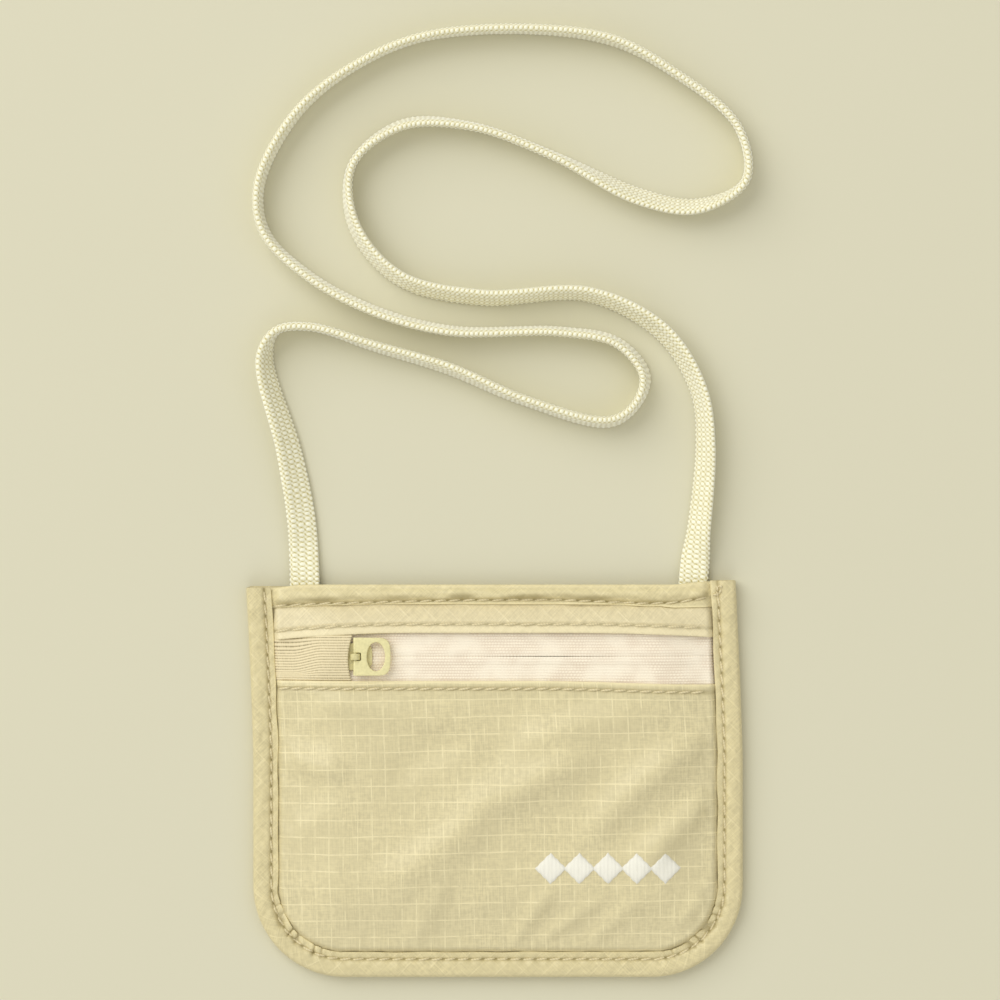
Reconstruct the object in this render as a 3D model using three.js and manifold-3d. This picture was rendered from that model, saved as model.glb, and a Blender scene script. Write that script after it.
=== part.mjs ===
// Neck pouch wallet: a flat fabric pouch with a zipped pocket in front, an open-topped
// slip pocket behind it, and a braided cord to hang it round the neck.
//
// Millimetres. The pouch lies on its back: +X to its right, +Y to the top edge where the
// cord leaves, +Z out of the front. The origin is the middle of the pouch's footprint, on
// the surface that it lies on.
import * as THREE from 'three';
import { mergeVertices } from 'three/addons/utils/BufferGeometryUtils.js';
import Module from 'manifold-3d';

const wasm = await Module();
wasm.setup();

// ---- Driving dimensions ----

const WIDTH = 123.5;
const HEIGHT = 99;
const CORNER_RADIUS = 23;
const FABRIC = 0.3;
const GAP = 0.3;
const BINDING_FACE = 6.3;
const BAND_FACE = 5.3;
const ZIP_Y = 31.6;
const WINDOW_HEIGHT = 11.6;
const POCKET_FILL = 1.5;
const HARDWARE_DEPTH = 2.1;
const SEWN_CORD = 0.8;
const SLIDER_LENGTH = 9;
const SLIDER_PARKED_X = -35.7;
const CORD_WIDTH = 7.4;
const CORD_TUBE_RADIUS = 2.2;

// ---- Sizes that follow from them ----

const PLY = FABRIC + GAP;
const HALF = WIDTH / 2;
const TOP = HEIGHT / 2;
const BOTTOM = -TOP;
const INNER = HALF - BINDING_FACE;
const BAND_EDGE = TOP - BAND_FACE;
const WINDOW_TOP = ZIP_Y + WINDOW_HEIGHT / 2;
const WINDOW_BOTTOM = ZIP_Y - WINDOW_HEIGHT / 2;

// Heights of each layer's lower face: pinched under the binding, and free inside it.
const BACK = PLY;
const SEWN = BACK + PLY;
const PINCHED = {
  lining: BACK + PLY,
  tape: BACK + 2 * PLY,
  front: BACK + 3 * PLY,
};
const BAND_BACK = SEWN + SEWN_CORD + GAP;
const FREE = { lining: BAND_BACK + PLY };
FREE.tape = FREE.lining + PLY + HARDWARE_DEPTH;
FREE.front = FREE.tape + PLY;

// The free layers rise from the pinched edge over SLOPE, or over SEAM_SLOPE by the top seam,
// where the cord ends need room close to the corners.
const SLOPE = 7;
const SEAM_SLOPE = 2;
// The filled pocket swells the front panel over FILL_SLOPE more, and up to FILL_TOP, where it
// starts to fade towards the zip.
const FILL_SLOPE = 7;
const FILL_TOP = 11;
const FILL_END = 20;
const TAPE_REACH = 8;

// All layers are displaced over one lattice, so that they nest and never cross.
const HALF_COLUMNS = [10, 21, 31, INNER - SLOPE - FILL_SLOPE, INNER - SLOPE];
HALF_COLUMNS.push(INNER - SEAM_SLOPE, INNER, HALF + 1);
const COLUMNS = [...HALF_COLUMNS.map((x) => -x).reverse(), 0, ...HALF_COLUMNS];
const BOUND = BOTTOM + BINDING_FACE;
const SEAM_START = ZIP_Y + TAPE_REACH + 0.2;
const ROWS = [BOTTOM - 1, BOUND, BOUND + SLOPE / 2, BOUND + SLOPE, BOUND + SLOPE + FILL_SLOPE];
ROWS.push(-16, -2, FILL_TOP, FILL_END, WINDOW_BOTTOM, WINDOW_TOP);
ROWS.push(SEAM_START, BAND_EDGE, TOP + 1);

const { clamp, lerp } = THREE.MathUtils;
const share = (value) => clamp(value, 0, 1);

// ---- Heights over the pouch ----

/** Distance inwards from the binding's inner edge, 0 under the binding and open at the top. */
function inset(x, y) {
  const radius = CORNER_RADIUS - BINDING_FACE;
  const across = Math.abs(x) - (INNER - radius);
  const along = BOUND + radius - y;
  const outside = Math.hypot(Math.max(across, 0), Math.max(along, 0));
  return Math.max(0, radius - outside - Math.min(Math.max(across, along), 0));
}

/** 0 below the top seam and 1 along it. */
function topSeam(y) {
  return share((y - SEAM_START) / (BAND_EDGE - SEAM_START));
}

function rise(x, y) {
  return share(inset(x, y) / SLOPE);
}

function seamRise(x, y) {
  return share(inset(x, y) / lerp(SLOPE, SEAM_SLOPE, topSeam(y)));
}

function liningLevel(x, y) {
  return lerp(PINCHED.lining + PLY * topSeam(y), FREE.lining, seamRise(x, y));
}

function tapeLevel(x, y) {
  return lerp(PINCHED.tape, FREE.tape, rise(x, y));
}

function frontLevel(x, y) {
  const fill = share((inset(x, y) - SLOPE) / FILL_SLOPE);
  const fade = share((FILL_END - y) / (FILL_END - FILL_TOP));
  return lerp(PINCHED.front, FREE.front, rise(x, y)) + POCKET_FILL * fill * fade;
}

function bandBackLevel(x, y) {
  return lerp(SEWN, BAND_BACK, seamRise(x, y));
}

function stripLevel(x, y) {
  const seam = lerp(PINCHED.front, FREE.lining + PLY, seamRise(x, y));
  return lerp(frontLevel(x, y), seam, topSeam(y));
}

function bandFrontLevel(x, y) {
  return stripLevel(x, y) + PLY;
}

function bindingLevel(x, y) {
  return frontLevel(x, y) + PLY + PLY * topSeam(y);
}

const plus = (level, height) => (x, y) => level(x, y) + height;

// ---- Solids ----

function solid(geometry) {
  const bare = geometry.clone();
  bare.deleteAttribute('normal');
  bare.deleteAttribute('uv');
  const merged = mergeVertices(bare, 1e-4);
  const vertProperties = new Float32Array(merged.attributes.position.array);
  const triVerts = new Uint32Array(merged.index.array);
  return new wasm.Manifold(new wasm.Mesh({ numProp: 3, vertProperties, triVerts }));
}

/** Everything under a height that changes over the lattice, down to below the pouch. */
function under(level) {
  const across = COLUMNS.length - 1;
  const along = ROWS.length - 1;
  const box = new THREE.BoxGeometry(1, 1, 1, across, along, 1);
  const points = box.attributes.position;
  for (let i = 0; i < points.count; i += 1) {
    const x = COLUMNS[Math.round((points.getX(i) + 0.5) * across)];
    const y = ROWS[Math.round((points.getY(i) + 0.5) * along)];
    points.setXYZ(i, x, y, points.getZ(i) > 0 ? level(x, y) : -1);
  }
  return solid(box);
}

/** An upright prism from one height to another. */
function prism(shape, low, high) {
  const geometry = new THREE.ExtrudeGeometry(shape, {
    depth: high - low,
    bevelEnabled: false,
    curveSegments: 9,
  });
  return solid(geometry.translate(0, 0, low));
}

/** The part of an outline between two of the displaced heights. */
function layer(outline, low, thickness = FABRIC) {
  return outline.intersect(under(plus(low, thickness)).subtract(under(low)));
}

function rectangle(x0, x1, y0, y1) {
  return new THREE.Shape([
    new THREE.Vector2(x0, y0),
    new THREE.Vector2(x1, y0),
    new THREE.Vector2(x1, y1),
    new THREE.Vector2(x0, y1),
  ]);
}

/** The pouch's outline, drawn in from its edge and cut off at a height: round at the bottom. */
function pouchOutline(margin, top) {
  const side = HALF - margin;
  const radius = CORNER_RADIUS - margin;
  const shape = new THREE.Shape();
  shape.moveTo(side, top);
  shape.lineTo(-side, top);
  shape.lineTo(-side, BOTTOM + margin + radius);
  shape.absarc(-side + radius, BOTTOM + margin + radius, radius, Math.PI, 1.5 * Math.PI);
  shape.lineTo(side - radius, BOTTOM + margin);
  shape.absarc(side - radius, BOTTOM + margin + radius, radius, 1.5 * Math.PI, 2 * Math.PI);
  shape.closePath();
  return shape;
}

const FLOOR = -0.5;
const CEILING = 20;
const column = (shape) => prism(shape, FLOOR, CEILING);
const ring = (margin, width, top) => column(pouchOutline(margin, top)).subtract(
  column(pouchOutline(margin + width, top + 1)),
);

// ---- Fabric ----

/** A panel that reaches into the binding's fold, between two heights of the pouch. */
function boundPanel(level, low, high) {
  const inside = column(pouchOutline(PLY, TOP + 1));
  return layer(inside.intersect(column(rectangle(-HALF, HALF, low, high))), level);
}

const flatBack = () => BACK;
const backPanel = boundPanel(flatBack, BOTTOM, TOP - GAP);
const pocketLining = boundPanel(liningLevel, BOTTOM, TOP - PLY);
const frontPanel = boundPanel(frontLevel, BOTTOM, WINDOW_BOTTOM);
const topStrip = boundPanel(stripLevel, WINDOW_TOP, TOP - PLY);

/** One tape folded round the sides and bottom: a back leg, a front leg and the fold. */
function edgeBinding() {
  const outside = ring(0, BINDING_FACE, TOP).intersect(under(plus(bindingLevel, FABRIC)));
  const body = outside.intersect(prism(rectangle(-HALF, HALF, BOTTOM, TOP), 0, CEILING));
  const fold = column(pouchOutline(FABRIC, TOP + 1));
  const floor = prism(rectangle(-HALF, HALF, BOTTOM, TOP + 1), FLOOR, FABRIC);
  return body.subtract(fold.intersect(under(bindingLevel)).subtract(floor));
}

/** The tape folded over the top edge of the front assembly. */
function topBand() {
  const end = HALF - PLY;
  const whole = column(rectangle(-end, end, BAND_EDGE, TOP));
  const body = whole.intersect(under(plus(bandFrontLevel, FABRIC)).subtract(under(bandBackLevel)));
  const inside = column(rectangle(-HALF, HALF, BOTTOM, TOP - FABRIC));
  const fold = under(bandFrontLevel).subtract(under(plus(bandBackLevel, FABRIC)));
  return body.subtract(inside.intersect(fold));
}

const HOOD_LEVEL = FREE.front + 3 * GAP;
const HOOD_RAMP = 5;
const RIBBON_END = SLIDER_PARKED_X - 1.3;

/** A grosgrain ribbon that lies over the tapes and arches over the parked slider. */
function garageRibbon() {
  const start = -HALF + PLY;
  const foot = INNER - SLOPE;
  const path = [
    [start, PINCHED.front],
    [-INNER, PINCHED.front],
    [-foot, FREE.front],
    [-foot + HOOD_RAMP, HOOD_LEVEL],
    [RIBBON_END, HOOD_LEVEL],
  ].map(([x, z]) => new THREE.Vector2(x, z));
  const upper = path.map((p) => new THREE.Vector2(p.x, p.y + FABRIC)).reverse();
  const geometry = new THREE.ExtrudeGeometry(new THREE.Shape([...path, ...upper]), {
    depth: WINDOW_HEIGHT - 2 * GAP,
    bevelEnabled: false,
  });
  geometry.rotateX(Math.PI / 2);
  return solid(geometry.translate(0, WINDOW_TOP - GAP, 0));
}

// ---- Zip ----

const COIL_WIDTH = 1.5;
const COIL_DEPTH = 1.0;
const ZIP_PARTING = 0.45;
const COIL_LEVEL = FREE.tape - GAP - COIL_DEPTH;
const COIL_END = INNER - SLOPE - 1.5;

function zipTape(side) {
  const edges = [ZIP_Y + side * ZIP_PARTING, ZIP_Y + side * TAPE_REACH];
  return boundPanel(tapeLevel, Math.min(...edges), Math.max(...edges));
}

/** One row of coil teeth as a rounded bar along the tape's edge. */
function zipCoil(side) {
  const section = new THREE.Shape();
  const radius = COIL_DEPTH / 2;
  const reach = COIL_WIDTH - radius;
  section.absarc(reach, 0, radius, -Math.PI / 2, Math.PI / 2);
  section.absarc(radius, 0, radius, Math.PI / 2, 1.5 * Math.PI);
  section.closePath();
  const geometry = new THREE.ExtrudeGeometry(section, {
    depth: 2 * COIL_END,
    bevelEnabled: false,
    curveSegments: 4,
  });
  geometry.rotateX(Math.PI / 2).rotateZ(Math.PI / 2);
  const inner = side > 0 ? ZIP_PARTING : -ZIP_PARTING - COIL_WIDTH;
  return solid(geometry.translate(-COIL_END, ZIP_Y + inner, COIL_LEVEL + radius));
}

// The slider: x is measured from its middle, and the wide end that parts the teeth is at -X.
const PLATE = 0.5;
const WIDE_END = 3.8;
const NARROW_END = 2.9;
const LOWER_PLATE = COIL_LEVEL - GAP - PLATE;
const UPPER_PLATE = FREE.tape + PLY;
const PIN_RADIUS = 0.4;
const PIN_X = 0.3;
const BRIDGE_CLEARANCE = 0.25;
const BRIDGE_WALL = 0.6;
const BRIDGE_WIDTH = 1.6;
const PIN_LEVEL = UPPER_PLATE + PLATE + BRIDGE_CLEARANCE + PIN_RADIUS;

function sliderOutline() {
  const half = SLIDER_LENGTH / 2;
  const shape = new THREE.Shape();
  shape.moveTo(-half + 1, -WIDE_END);
  shape.lineTo(half - 2, -NARROW_END);
  shape.quadraticCurveTo(half, -NARROW_END, half, -NARROW_END + 1.3);
  shape.lineTo(half, NARROW_END - 1.3);
  shape.quadraticCurveTo(half, NARROW_END, half - 2, NARROW_END);
  shape.lineTo(-half + 1, WIDE_END);
  shape.quadraticCurveTo(-half, WIDE_END, -half, WIDE_END - 1);
  shape.lineTo(-half, -WIDE_END + 1);
  shape.quadraticCurveTo(-half, -WIDE_END, -half + 1, -WIDE_END);
  return shape;
}

/** The arch that holds the pull tab's pin, drawn from the side. */
function sliderBridge() {
  const inside = PIN_RADIUS + BRIDGE_CLEARANCE;
  const outside = inside + BRIDGE_WALL;
  const foot = UPPER_PLATE + PLATE / 2 - PIN_LEVEL;
  const arch = new THREE.Shape();
  arch.moveTo(-outside, foot);
  arch.lineTo(-inside, foot);
  arch.lineTo(-inside, 0);
  arch.absarc(0, 0, inside, Math.PI, 0, true);
  arch.lineTo(inside, foot);
  arch.lineTo(outside, foot);
  arch.lineTo(outside, 0);
  arch.absarc(0, 0, outside, 0, Math.PI);
  arch.closePath();
  const geometry = new THREE.ExtrudeGeometry(arch, {
    depth: BRIDGE_WIDTH,
    bevelEnabled: false,
    curveSegments: 8,
  });
  geometry.rotateX(Math.PI / 2);
  return solid(geometry.translate(PIN_X, BRIDGE_WIDTH / 2, PIN_LEVEL));
}

function zipSlider() {
  const half = SLIDER_LENGTH / 2;
  const lower = prism(sliderOutline(), LOWER_PLATE, LOWER_PLATE + PLATE);
  const upper = prism(sliderOutline(), UPPER_PLATE, UPPER_PLATE + PLATE);
  const web = ZIP_PARTING - GAP;
  const postShape = rectangle(-half + 0.6, -half + 3.4, -web, web);
  const post = prism(postShape, LOWER_PLATE + PLATE / 2, UPPER_PLATE + PLATE / 2);
  let body = lower.add(upper).add(post).add(sliderBridge());
  const rail = ZIP_PARTING + COIL_WIDTH + GAP;
  for (const [y0, y1] of [[rail, rail + PLATE], [-rail - PLATE, -rail]]) {
    const flange = rectangle(-1, half - 1.6, y0, y1);
    body = body.add(prism(flange, LOWER_PLATE + PLATE / 2, FREE.tape - GAP));
  }
  return body;
}

// The pull tab: drawn about its own pin, which is its hinge.
const TAB_WIDTH = 9.6;
const TAB_REACH = 8.8;
const TAB_THICKNESS = 1.0;
const TAB_HOLE = { x: 5.2, rx: 2.2, ry: 3.5 };

function pullTab() {
  const half = TAB_WIDTH / 2;
  const shape = new THREE.Shape();
  shape.moveTo(0, -half);
  shape.lineTo(TAB_REACH - 2.5, -half);
  shape.quadraticCurveTo(TAB_REACH - 0.3, -half, TAB_REACH - 0.2, -half + 2);
  shape.quadraticCurveTo(TAB_REACH + 0.2, 0, TAB_REACH - 0.2, half - 2);
  shape.quadraticCurveTo(TAB_REACH - 0.3, half, TAB_REACH - 2.5, half);
  shape.lineTo(0, half);
  shape.closePath();
  const hole = new THREE.Path();
  hole.absellipse(TAB_HOLE.x, 0, TAB_HOLE.rx, TAB_HOLE.ry, 0, 2 * Math.PI);
  shape.holes.push(hole);
  const slotHalf = BRIDGE_WIDTH / 2 + GAP;
  const slotEnd = PIN_RADIUS + BRIDGE_CLEARANCE + BRIDGE_WALL + GAP;
  const slot = prism(rectangle(-2, slotEnd, -slotHalf, slotHalf), -2, 2);
  const knuckle = new THREE.CylinderGeometry(TAB_THICKNESS / 2, TAB_THICKNESS / 2, TAB_WIDTH, 16);
  const pin = new THREE.CylinderGeometry(PIN_RADIUS, PIN_RADIUS, TAB_WIDTH - 2, 16);
  const plate = prism(shape, -TAB_THICKNESS / 2, TAB_THICKNESS / 2);
  return plate.add(solid(knuckle)).subtract(slot).add(solid(pin));
}

// ---- Thread and embroidery ----

const THREAD = { width: 0.5, height: 0.3, from: 1.8 };

/** A straight row of thread on a layer, from side to side. */
function seamRow(y, level) {
  const end = INNER - GAP;
  const line = rectangle(-end, end, y - THREAD.width / 2, y + THREAD.width / 2);
  return layer(column(line), plus(level, PLY), THREAD.height);
}

const seamTopBand = seamRow(BAND_EDGE + 0.9, bandFrontLevel);
const seamTopStrip = seamRow(WINDOW_TOP + 1.5, stripLevel);
const seamZipLower = seamRow(WINDOW_BOTTOM - 1.3, frontLevel);
const seamBinding = layer(
  ring(BINDING_FACE - THREAD.from, THREAD.width, TOP - 1),
  plus(bindingLevel, PLY),
  THREAD.height,
);

/** A chain of satin-stitched diamonds that overlap at their tips. */
const MOTIF = { x: 27.6, y: -21.5, count: 5, pitch: 7.2, rx: 3.9, ry: 4.2, height: 0.4 };

function embroideredMotif() {
  let chain = null;
  for (let i = 0; i < MOTIF.count; i += 1) {
    const x = MOTIF.x + (i - (MOTIF.count - 1) / 2) * MOTIF.pitch;
    const diamond = column(new THREE.Shape([
      new THREE.Vector2(x - MOTIF.rx, MOTIF.y),
      new THREE.Vector2(x, MOTIF.y - MOTIF.ry),
      new THREE.Vector2(x + MOTIF.rx, MOTIF.y),
      new THREE.Vector2(x, MOTIF.y + MOTIF.ry),
    ]));
    chain = chain ? chain.add(diamond) : diamond;
  }
  return layer(chain, plus(frontLevel, PLY), MOTIF.height);
}

// ---- Cord ----

// The cord's route over the surface, seen from above, from the left end to the right one.
const CORD_ROUTE = [
  [-48.4, 49.8], [-49.3, 66], [-52.5, 83.5], [-58.5, 107], [-55.4, 113.6],
  [-47, 114.5], [-31, 109.7], [-12, 104], [7, 96], [28.6, 90.6],
  [35.2, 95], [37.4, 102.3], [30.6, 110.5], [16, 113.4], [-11.8, 113.6],
  [-30.8, 118.6], [-47.6, 127.6], [-58.4, 138.5], [-59.8, 150.3], [-51, 167.6],
  [-37.4, 179.3], [-16.7, 188], [26.2, 187.6], [45.5, 178.2], [61, 164.8],
  [62.8, 151.5], [51, 145], [36.2, 147.3], [13.7, 158], [-6.7, 165.2],
  [-24, 165.4], [-36.4, 155.4], [-36, 140.5], [-24.7, 127], [-4.2, 122],
  [23.5, 122.7], [42, 113.2], [51, 98.8], [52.8, 84], [49.7, 49.8],
];
const CORD_STEPS = 78;
const CORD_SIDES = 8;

/** The free stretch, as a round tube of the flat braid's own volume. */
function neckCord() {
  const points = CORD_ROUTE.map(([x, y]) => new THREE.Vector3(x, y, CORD_TUBE_RADIUS + 0.05));
  const section = new THREE.Shape();
  section.absarc(0, 0, CORD_TUBE_RADIUS, 0, 2 * Math.PI);
  return solid(new THREE.ExtrudeGeometry(section, {
    steps: CORD_STEPS,
    curveSegments: CORD_SIDES / 2,
    extrudePath: new THREE.CatmullRomCurve3(points),
  }));
}

/** An end of the cord, sewn down flat under the top band. */
function cordEnd([x]) {
  const half = CORD_WIDTH / 2;
  return prism(rectangle(x - half, x + half, BAND_EDGE + 0.1, TOP - GAP / 2), SEWN, SEWN + SEWN_CORD);
}

// ---- Assembly ----

const fabric = new THREE.MeshStandardMaterial({ color: 0xd8cd9e, roughness: 0.8 });
const binding = new THREE.MeshStandardMaterial({ color: 0xe0d4a0, roughness: 0.8 });
const tape = new THREE.MeshStandardMaterial({ color: 0xf0e4ce, roughness: 0.85 });
const coil = new THREE.MeshStandardMaterial({ color: 0xeadfc4, roughness: 0.5 });
const ribbon = new THREE.MeshStandardMaterial({ color: 0xe6dbb0, roughness: 0.75 });
const paintedMetal = new THREE.MeshStandardMaterial({
  color: 0xded796,
  roughness: 0.4,
  metalness: 0.3,
});
const braid = new THREE.MeshStandardMaterial({ color: 0xf0e8be, roughness: 0.7 });
const thread = new THREE.MeshStandardMaterial({ color: 0xb8a67a, roughness: 0.7 });
const embroidery = new THREE.MeshStandardMaterial({ color: 0xf6f0d8, roughness: 0.55 });

const pouch = new THREE.Group();

function piece(name, body, material, place = [0, 0, 0]) {
  const { vertProperties, triVerts } = body.getMesh();
  const geometry = new THREE.BufferGeometry();
  geometry.setAttribute('position', new THREE.BufferAttribute(vertProperties, 3));
  geometry.setIndex(new THREE.BufferAttribute(triVerts, 1));
  geometry.computeVertexNormals();
  const mesh = new THREE.Mesh(geometry, material);
  mesh.name = name;
  mesh.position.set(...place);
  pouch.add(mesh);
}

piece('back_panel', backPanel, fabric);
piece('pocket_lining', pocketLining, fabric);
piece('front_panel', frontPanel, fabric);
piece('top_strip', topStrip, fabric);
piece('top_band', topBand(), binding);
piece('edge_binding', edgeBinding(), binding);
piece('zip_garage_ribbon', garageRibbon(), ribbon);
piece('zip_tape_upper', zipTape(1), tape);
piece('zip_tape_lower', zipTape(-1), tape);
piece('zip_coil_upper', zipCoil(1), coil);
piece('zip_coil_lower', zipCoil(-1), coil);
piece('zip_slider', zipSlider(), paintedMetal, [SLIDER_PARKED_X, ZIP_Y, 0]);
piece('pull_tab', pullTab(), paintedMetal, [SLIDER_PARKED_X + PIN_X, ZIP_Y, PIN_LEVEL]);
piece('seam_top_band', seamTopBand, thread);
piece('seam_top_strip', seamTopStrip, thread);
piece('seam_zip_lower', seamZipLower, thread);
piece('seam_binding', seamBinding, thread);
piece('embroidered_motif', embroideredMotif(), embroidery);
piece('cord_end_left', cordEnd(CORD_ROUTE[0]), braid);
piece('cord_end_right', cordEnd(CORD_ROUTE.at(-1)), braid);
piece('neck_cord', neckCord(), braid);

export default pouch;
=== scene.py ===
"""Neck pouch wallet: the looks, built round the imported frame.

The pouch lies on its back with +X to its right, +Y to its top edge and +Z out of its front.
Shapes are worked out in millimetres and stored in metres.
"""

import math

import bpy
import numpy as np
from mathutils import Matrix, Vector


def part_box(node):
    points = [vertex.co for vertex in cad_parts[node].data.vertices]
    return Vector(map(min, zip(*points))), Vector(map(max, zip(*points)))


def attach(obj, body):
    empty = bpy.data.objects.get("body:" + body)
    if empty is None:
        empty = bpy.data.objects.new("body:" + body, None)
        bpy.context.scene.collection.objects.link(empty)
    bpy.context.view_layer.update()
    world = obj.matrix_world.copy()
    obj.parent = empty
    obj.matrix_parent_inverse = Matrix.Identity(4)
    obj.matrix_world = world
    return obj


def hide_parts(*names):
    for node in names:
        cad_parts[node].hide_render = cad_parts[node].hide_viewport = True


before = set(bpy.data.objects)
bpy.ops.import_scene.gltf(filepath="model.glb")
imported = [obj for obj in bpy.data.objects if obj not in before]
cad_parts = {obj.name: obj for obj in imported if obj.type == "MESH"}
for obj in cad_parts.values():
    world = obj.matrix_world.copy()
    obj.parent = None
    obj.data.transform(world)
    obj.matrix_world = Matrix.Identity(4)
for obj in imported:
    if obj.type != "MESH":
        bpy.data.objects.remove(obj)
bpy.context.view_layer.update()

MM = 0.001

# ---- Sizes, from the frame where it has them ----


def node_box(name):
    """A CAD node's lowest and highest corner, in millimetres."""
    low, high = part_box(name)
    return np.array(low) / MM, np.array(high) / MM


OUTER_LOW, OUTER_HIGH = node_box("edge_binding")
TAPE_LOW, TAPE_HIGH = node_box("zip_tape_upper")
SLIDER_LOW, SLIDER_HIGH = node_box("zip_slider")
TAB_LOW, TAB_HIGH = node_box("pull_tab")
HALF = OUTER_HIGH[0]
TOP = OUTER_HIGH[1]
BOTTOM = OUTER_LOW[1]
CORNER = 23.0
BAND_EDGE = node_box("top_band")[0][1]
INNER = node_box("seam_top_band")[1][0] + 0.3
BINDING_FACE = HALF - INNER
ZIP_Y = (SLIDER_LOW[1] + SLIDER_HIGH[1]) / 2
# How far inside the pouch's edge the panels and the tapes end, hidden by the binding.
PANEL_MARGIN = 0.7
TAPE_MARGIN = 0.9
# How thick the cloth and the tapes are, and the radius of a sharp fold.
CLOTH = 0.2
TAPE_CLOTH = 0.26
FOLD = 0.13

# Heights of the middle of each layer: pinched under the binding, and free inside it.
FABRIC = 0.3
PLY = 0.6
BACK_Z = node_box("back_panel")[0][2] + FABRIC / 2
LINING_Z = (2 * PLY + FABRIC / 2, node_box("pocket_lining")[1][2] - FABRIC / 2)
TAPE_Z = (TAPE_LOW[2] + FABRIC / 2, TAPE_HIGH[2] - FABRIC / 2)
TAPE_TO_FRONT = 0.62
FRONT_Z = (TAPE_Z[0] + TAPE_TO_FRONT, TAPE_Z[1] + TAPE_TO_FRONT)
# How far from the binding a pinched layer is free, and how high each layer of the pocket's front
# stands up beside the binding already.
RISE = 8.4
FRONT_STEP = 1.95
RIBBON_STEP = 1.75
TAPE_STEP = 1.7

# The cloth lies a little to the right, and has slid back to the left above a height.
LEAN_RIGHT = 0.4
LEAN_BACK = 1.8
LEAN_FROM = 5.0


def smooth(value):
    """0 to 1 with level ends."""
    t = np.clip(value, 0, 1)
    return t * t * (3 - 2 * t)


def mix(a, b, t):
    return a + (b - a) * t


def hump(value, width):
    """1 where the value is 0, and less on both sides of it, down to about a third at the width."""
    return np.exp(-((value / width) ** 2))


def unit(vectors):
    """The same directions, each of length 1."""
    return vectors / np.maximum(np.linalg.norm(vectors, axis=-1, keepdims=True), 1e-9)


def distances(line):
    """How far along a line each of its points is."""
    return np.concatenate([[0], np.cumsum(np.linalg.norm(np.diff(line, axis=0), axis=1))])


def points_along(line, lengths, wanted):
    """Points of a line at the wanted distances along it, given how far along its own points are."""
    return np.stack([np.interp(wanted, lengths, column) for column in line.T], axis=1)


def lean(y):
    """How far the pouch's cloth has slid sideways where it lies."""
    return LEAN_RIGHT - LEAN_BACK * (np.maximum(y - LEAN_FROM, 0) / (TOP - LEAN_FROM)) ** 1.3


def inset(x, y):
    """Distance inwards from the binding's inner edge, 0 under it, and open at the top."""
    radius = CORNER - BINDING_FACE
    across = np.abs(x) - (INNER - radius)
    along = BOTTOM + BINDING_FACE + radius - y
    outside = np.hypot(np.maximum(across, 0), np.maximum(along, 0))
    return np.maximum(0, radius - outside - np.minimum(np.maximum(across, along), 0))


RIPPLE_WAVES = 9


def ripples(x, y, seed, size, stretch=1.0, angle=0.0):
    """Soft repeatable unevenness of about one unit, drawn out along an angle."""
    random = np.random.default_rng(seed)
    c, s = math.cos(angle), math.sin(angle)
    along, across = (x * c + y * s) / stretch, y * c - x * s
    total = 0
    for _ in range(RIPPLE_WAVES):
        heading, phase = random.uniform(0, 2 * math.pi, 2)
        turns = 2 * math.pi / (size * random.uniform(0.7, 1.5))
        total = total + np.cos(turns * (along * math.cos(heading) + across * math.sin(heading)) + phase)
    return total / math.sqrt(RIPPLE_WAVES)


# ---- Meshes ----


def add_object(name, data):
    thing = bpy.data.objects.new(name, data)
    bpy.context.scene.collection.objects.link(thing)
    return thing


def make_mesh(name, points, faces, coords=None, relief=None, sharp=50):
    """An object from arrays: points in millimetres, quads, and two optional maps per point."""
    mesh = bpy.data.meshes.new(name)
    mesh.vertices.add(len(points))
    mesh.vertices.foreach_set("co", (points * MM).astype(np.float32).ravel())
    mesh.loops.add(faces.size)
    mesh.loops.foreach_set("vertex_index", faces.astype(np.int32).ravel())
    mesh.polygons.add(len(faces))
    mesh.polygons.foreach_set("loop_start", np.arange(0, faces.size, 4, dtype=np.int32))
    mesh.polygons.foreach_set("use_smooth", np.ones(len(faces), bool))
    mesh.update(calc_edges=True)
    mesh.set_sharp_from_angle(angle=math.radians(sharp))
    if coords is not None:
        layer = mesh.uv_layers.new(name="cloth_mm")
        layer.data.foreach_set("uv", coords[faces.ravel()].astype(np.float32).ravel())
    if relief is not None:
        mark = mesh.attributes.new("relief", "FLOAT", "POINT")
        mark.data.foreach_set("value", relief.astype(np.float32))
    return add_object(name, mesh)


def quads(rows, columns, tube=False):
    """Faces over a grid of points, row by row, where each row of a tube is a closed ring."""
    i = np.arange(rows - 1)
    j = np.arange(columns if tube else columns - 1)
    i, j = np.meshgrid(i, j, indexing="ij")
    beside = (j + 1) % columns
    ring = [i * columns + j, (i + 1) * columns + j, (i + 1) * columns + beside, i * columns + beside]
    return np.stack([corner.ravel() for corner in ring], axis=1)


def tube_faces(rows, sides):
    """Faces of a tube of rings of points, with quads across both ends."""
    caps = []
    for ring, step in ((0, -1), (rows - 1, 1)):
        for k in range(sides // 2 - 1):
            near, far = ring * sides + k, ring * sides + sides - 1 - k
            caps.append([near, near + 1, far - 1, far][::step])
    return np.concatenate([quads(rows, sides, tube=True), np.array(caps)])


def closed_sheet(front, back, coords, relief):
    """Points, faces and maps of a closed sheet between two grids, with one map for both faces."""
    rows, columns = front.shape[:2]
    count = rows * columns
    index = np.arange(count).reshape(rows, columns)
    rim = np.concatenate([index[0, :-1], index[:-1, -1], index[-1, :0:-1], index[:0:-1, 0]])
    after = np.roll(rim, -1)
    sides = np.stack([rim, after, after + count, rim + count], axis=1)
    face = quads(rows, columns)
    faces = np.concatenate([face, face[:, ::-1] + count, sides])
    points = np.concatenate([front.reshape(-1, 3), back.reshape(-1, 3)])
    return points, faces, np.tile(coords.reshape(-1, 2), (2, 1)), np.tile(relief.ravel(), 2)


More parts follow.
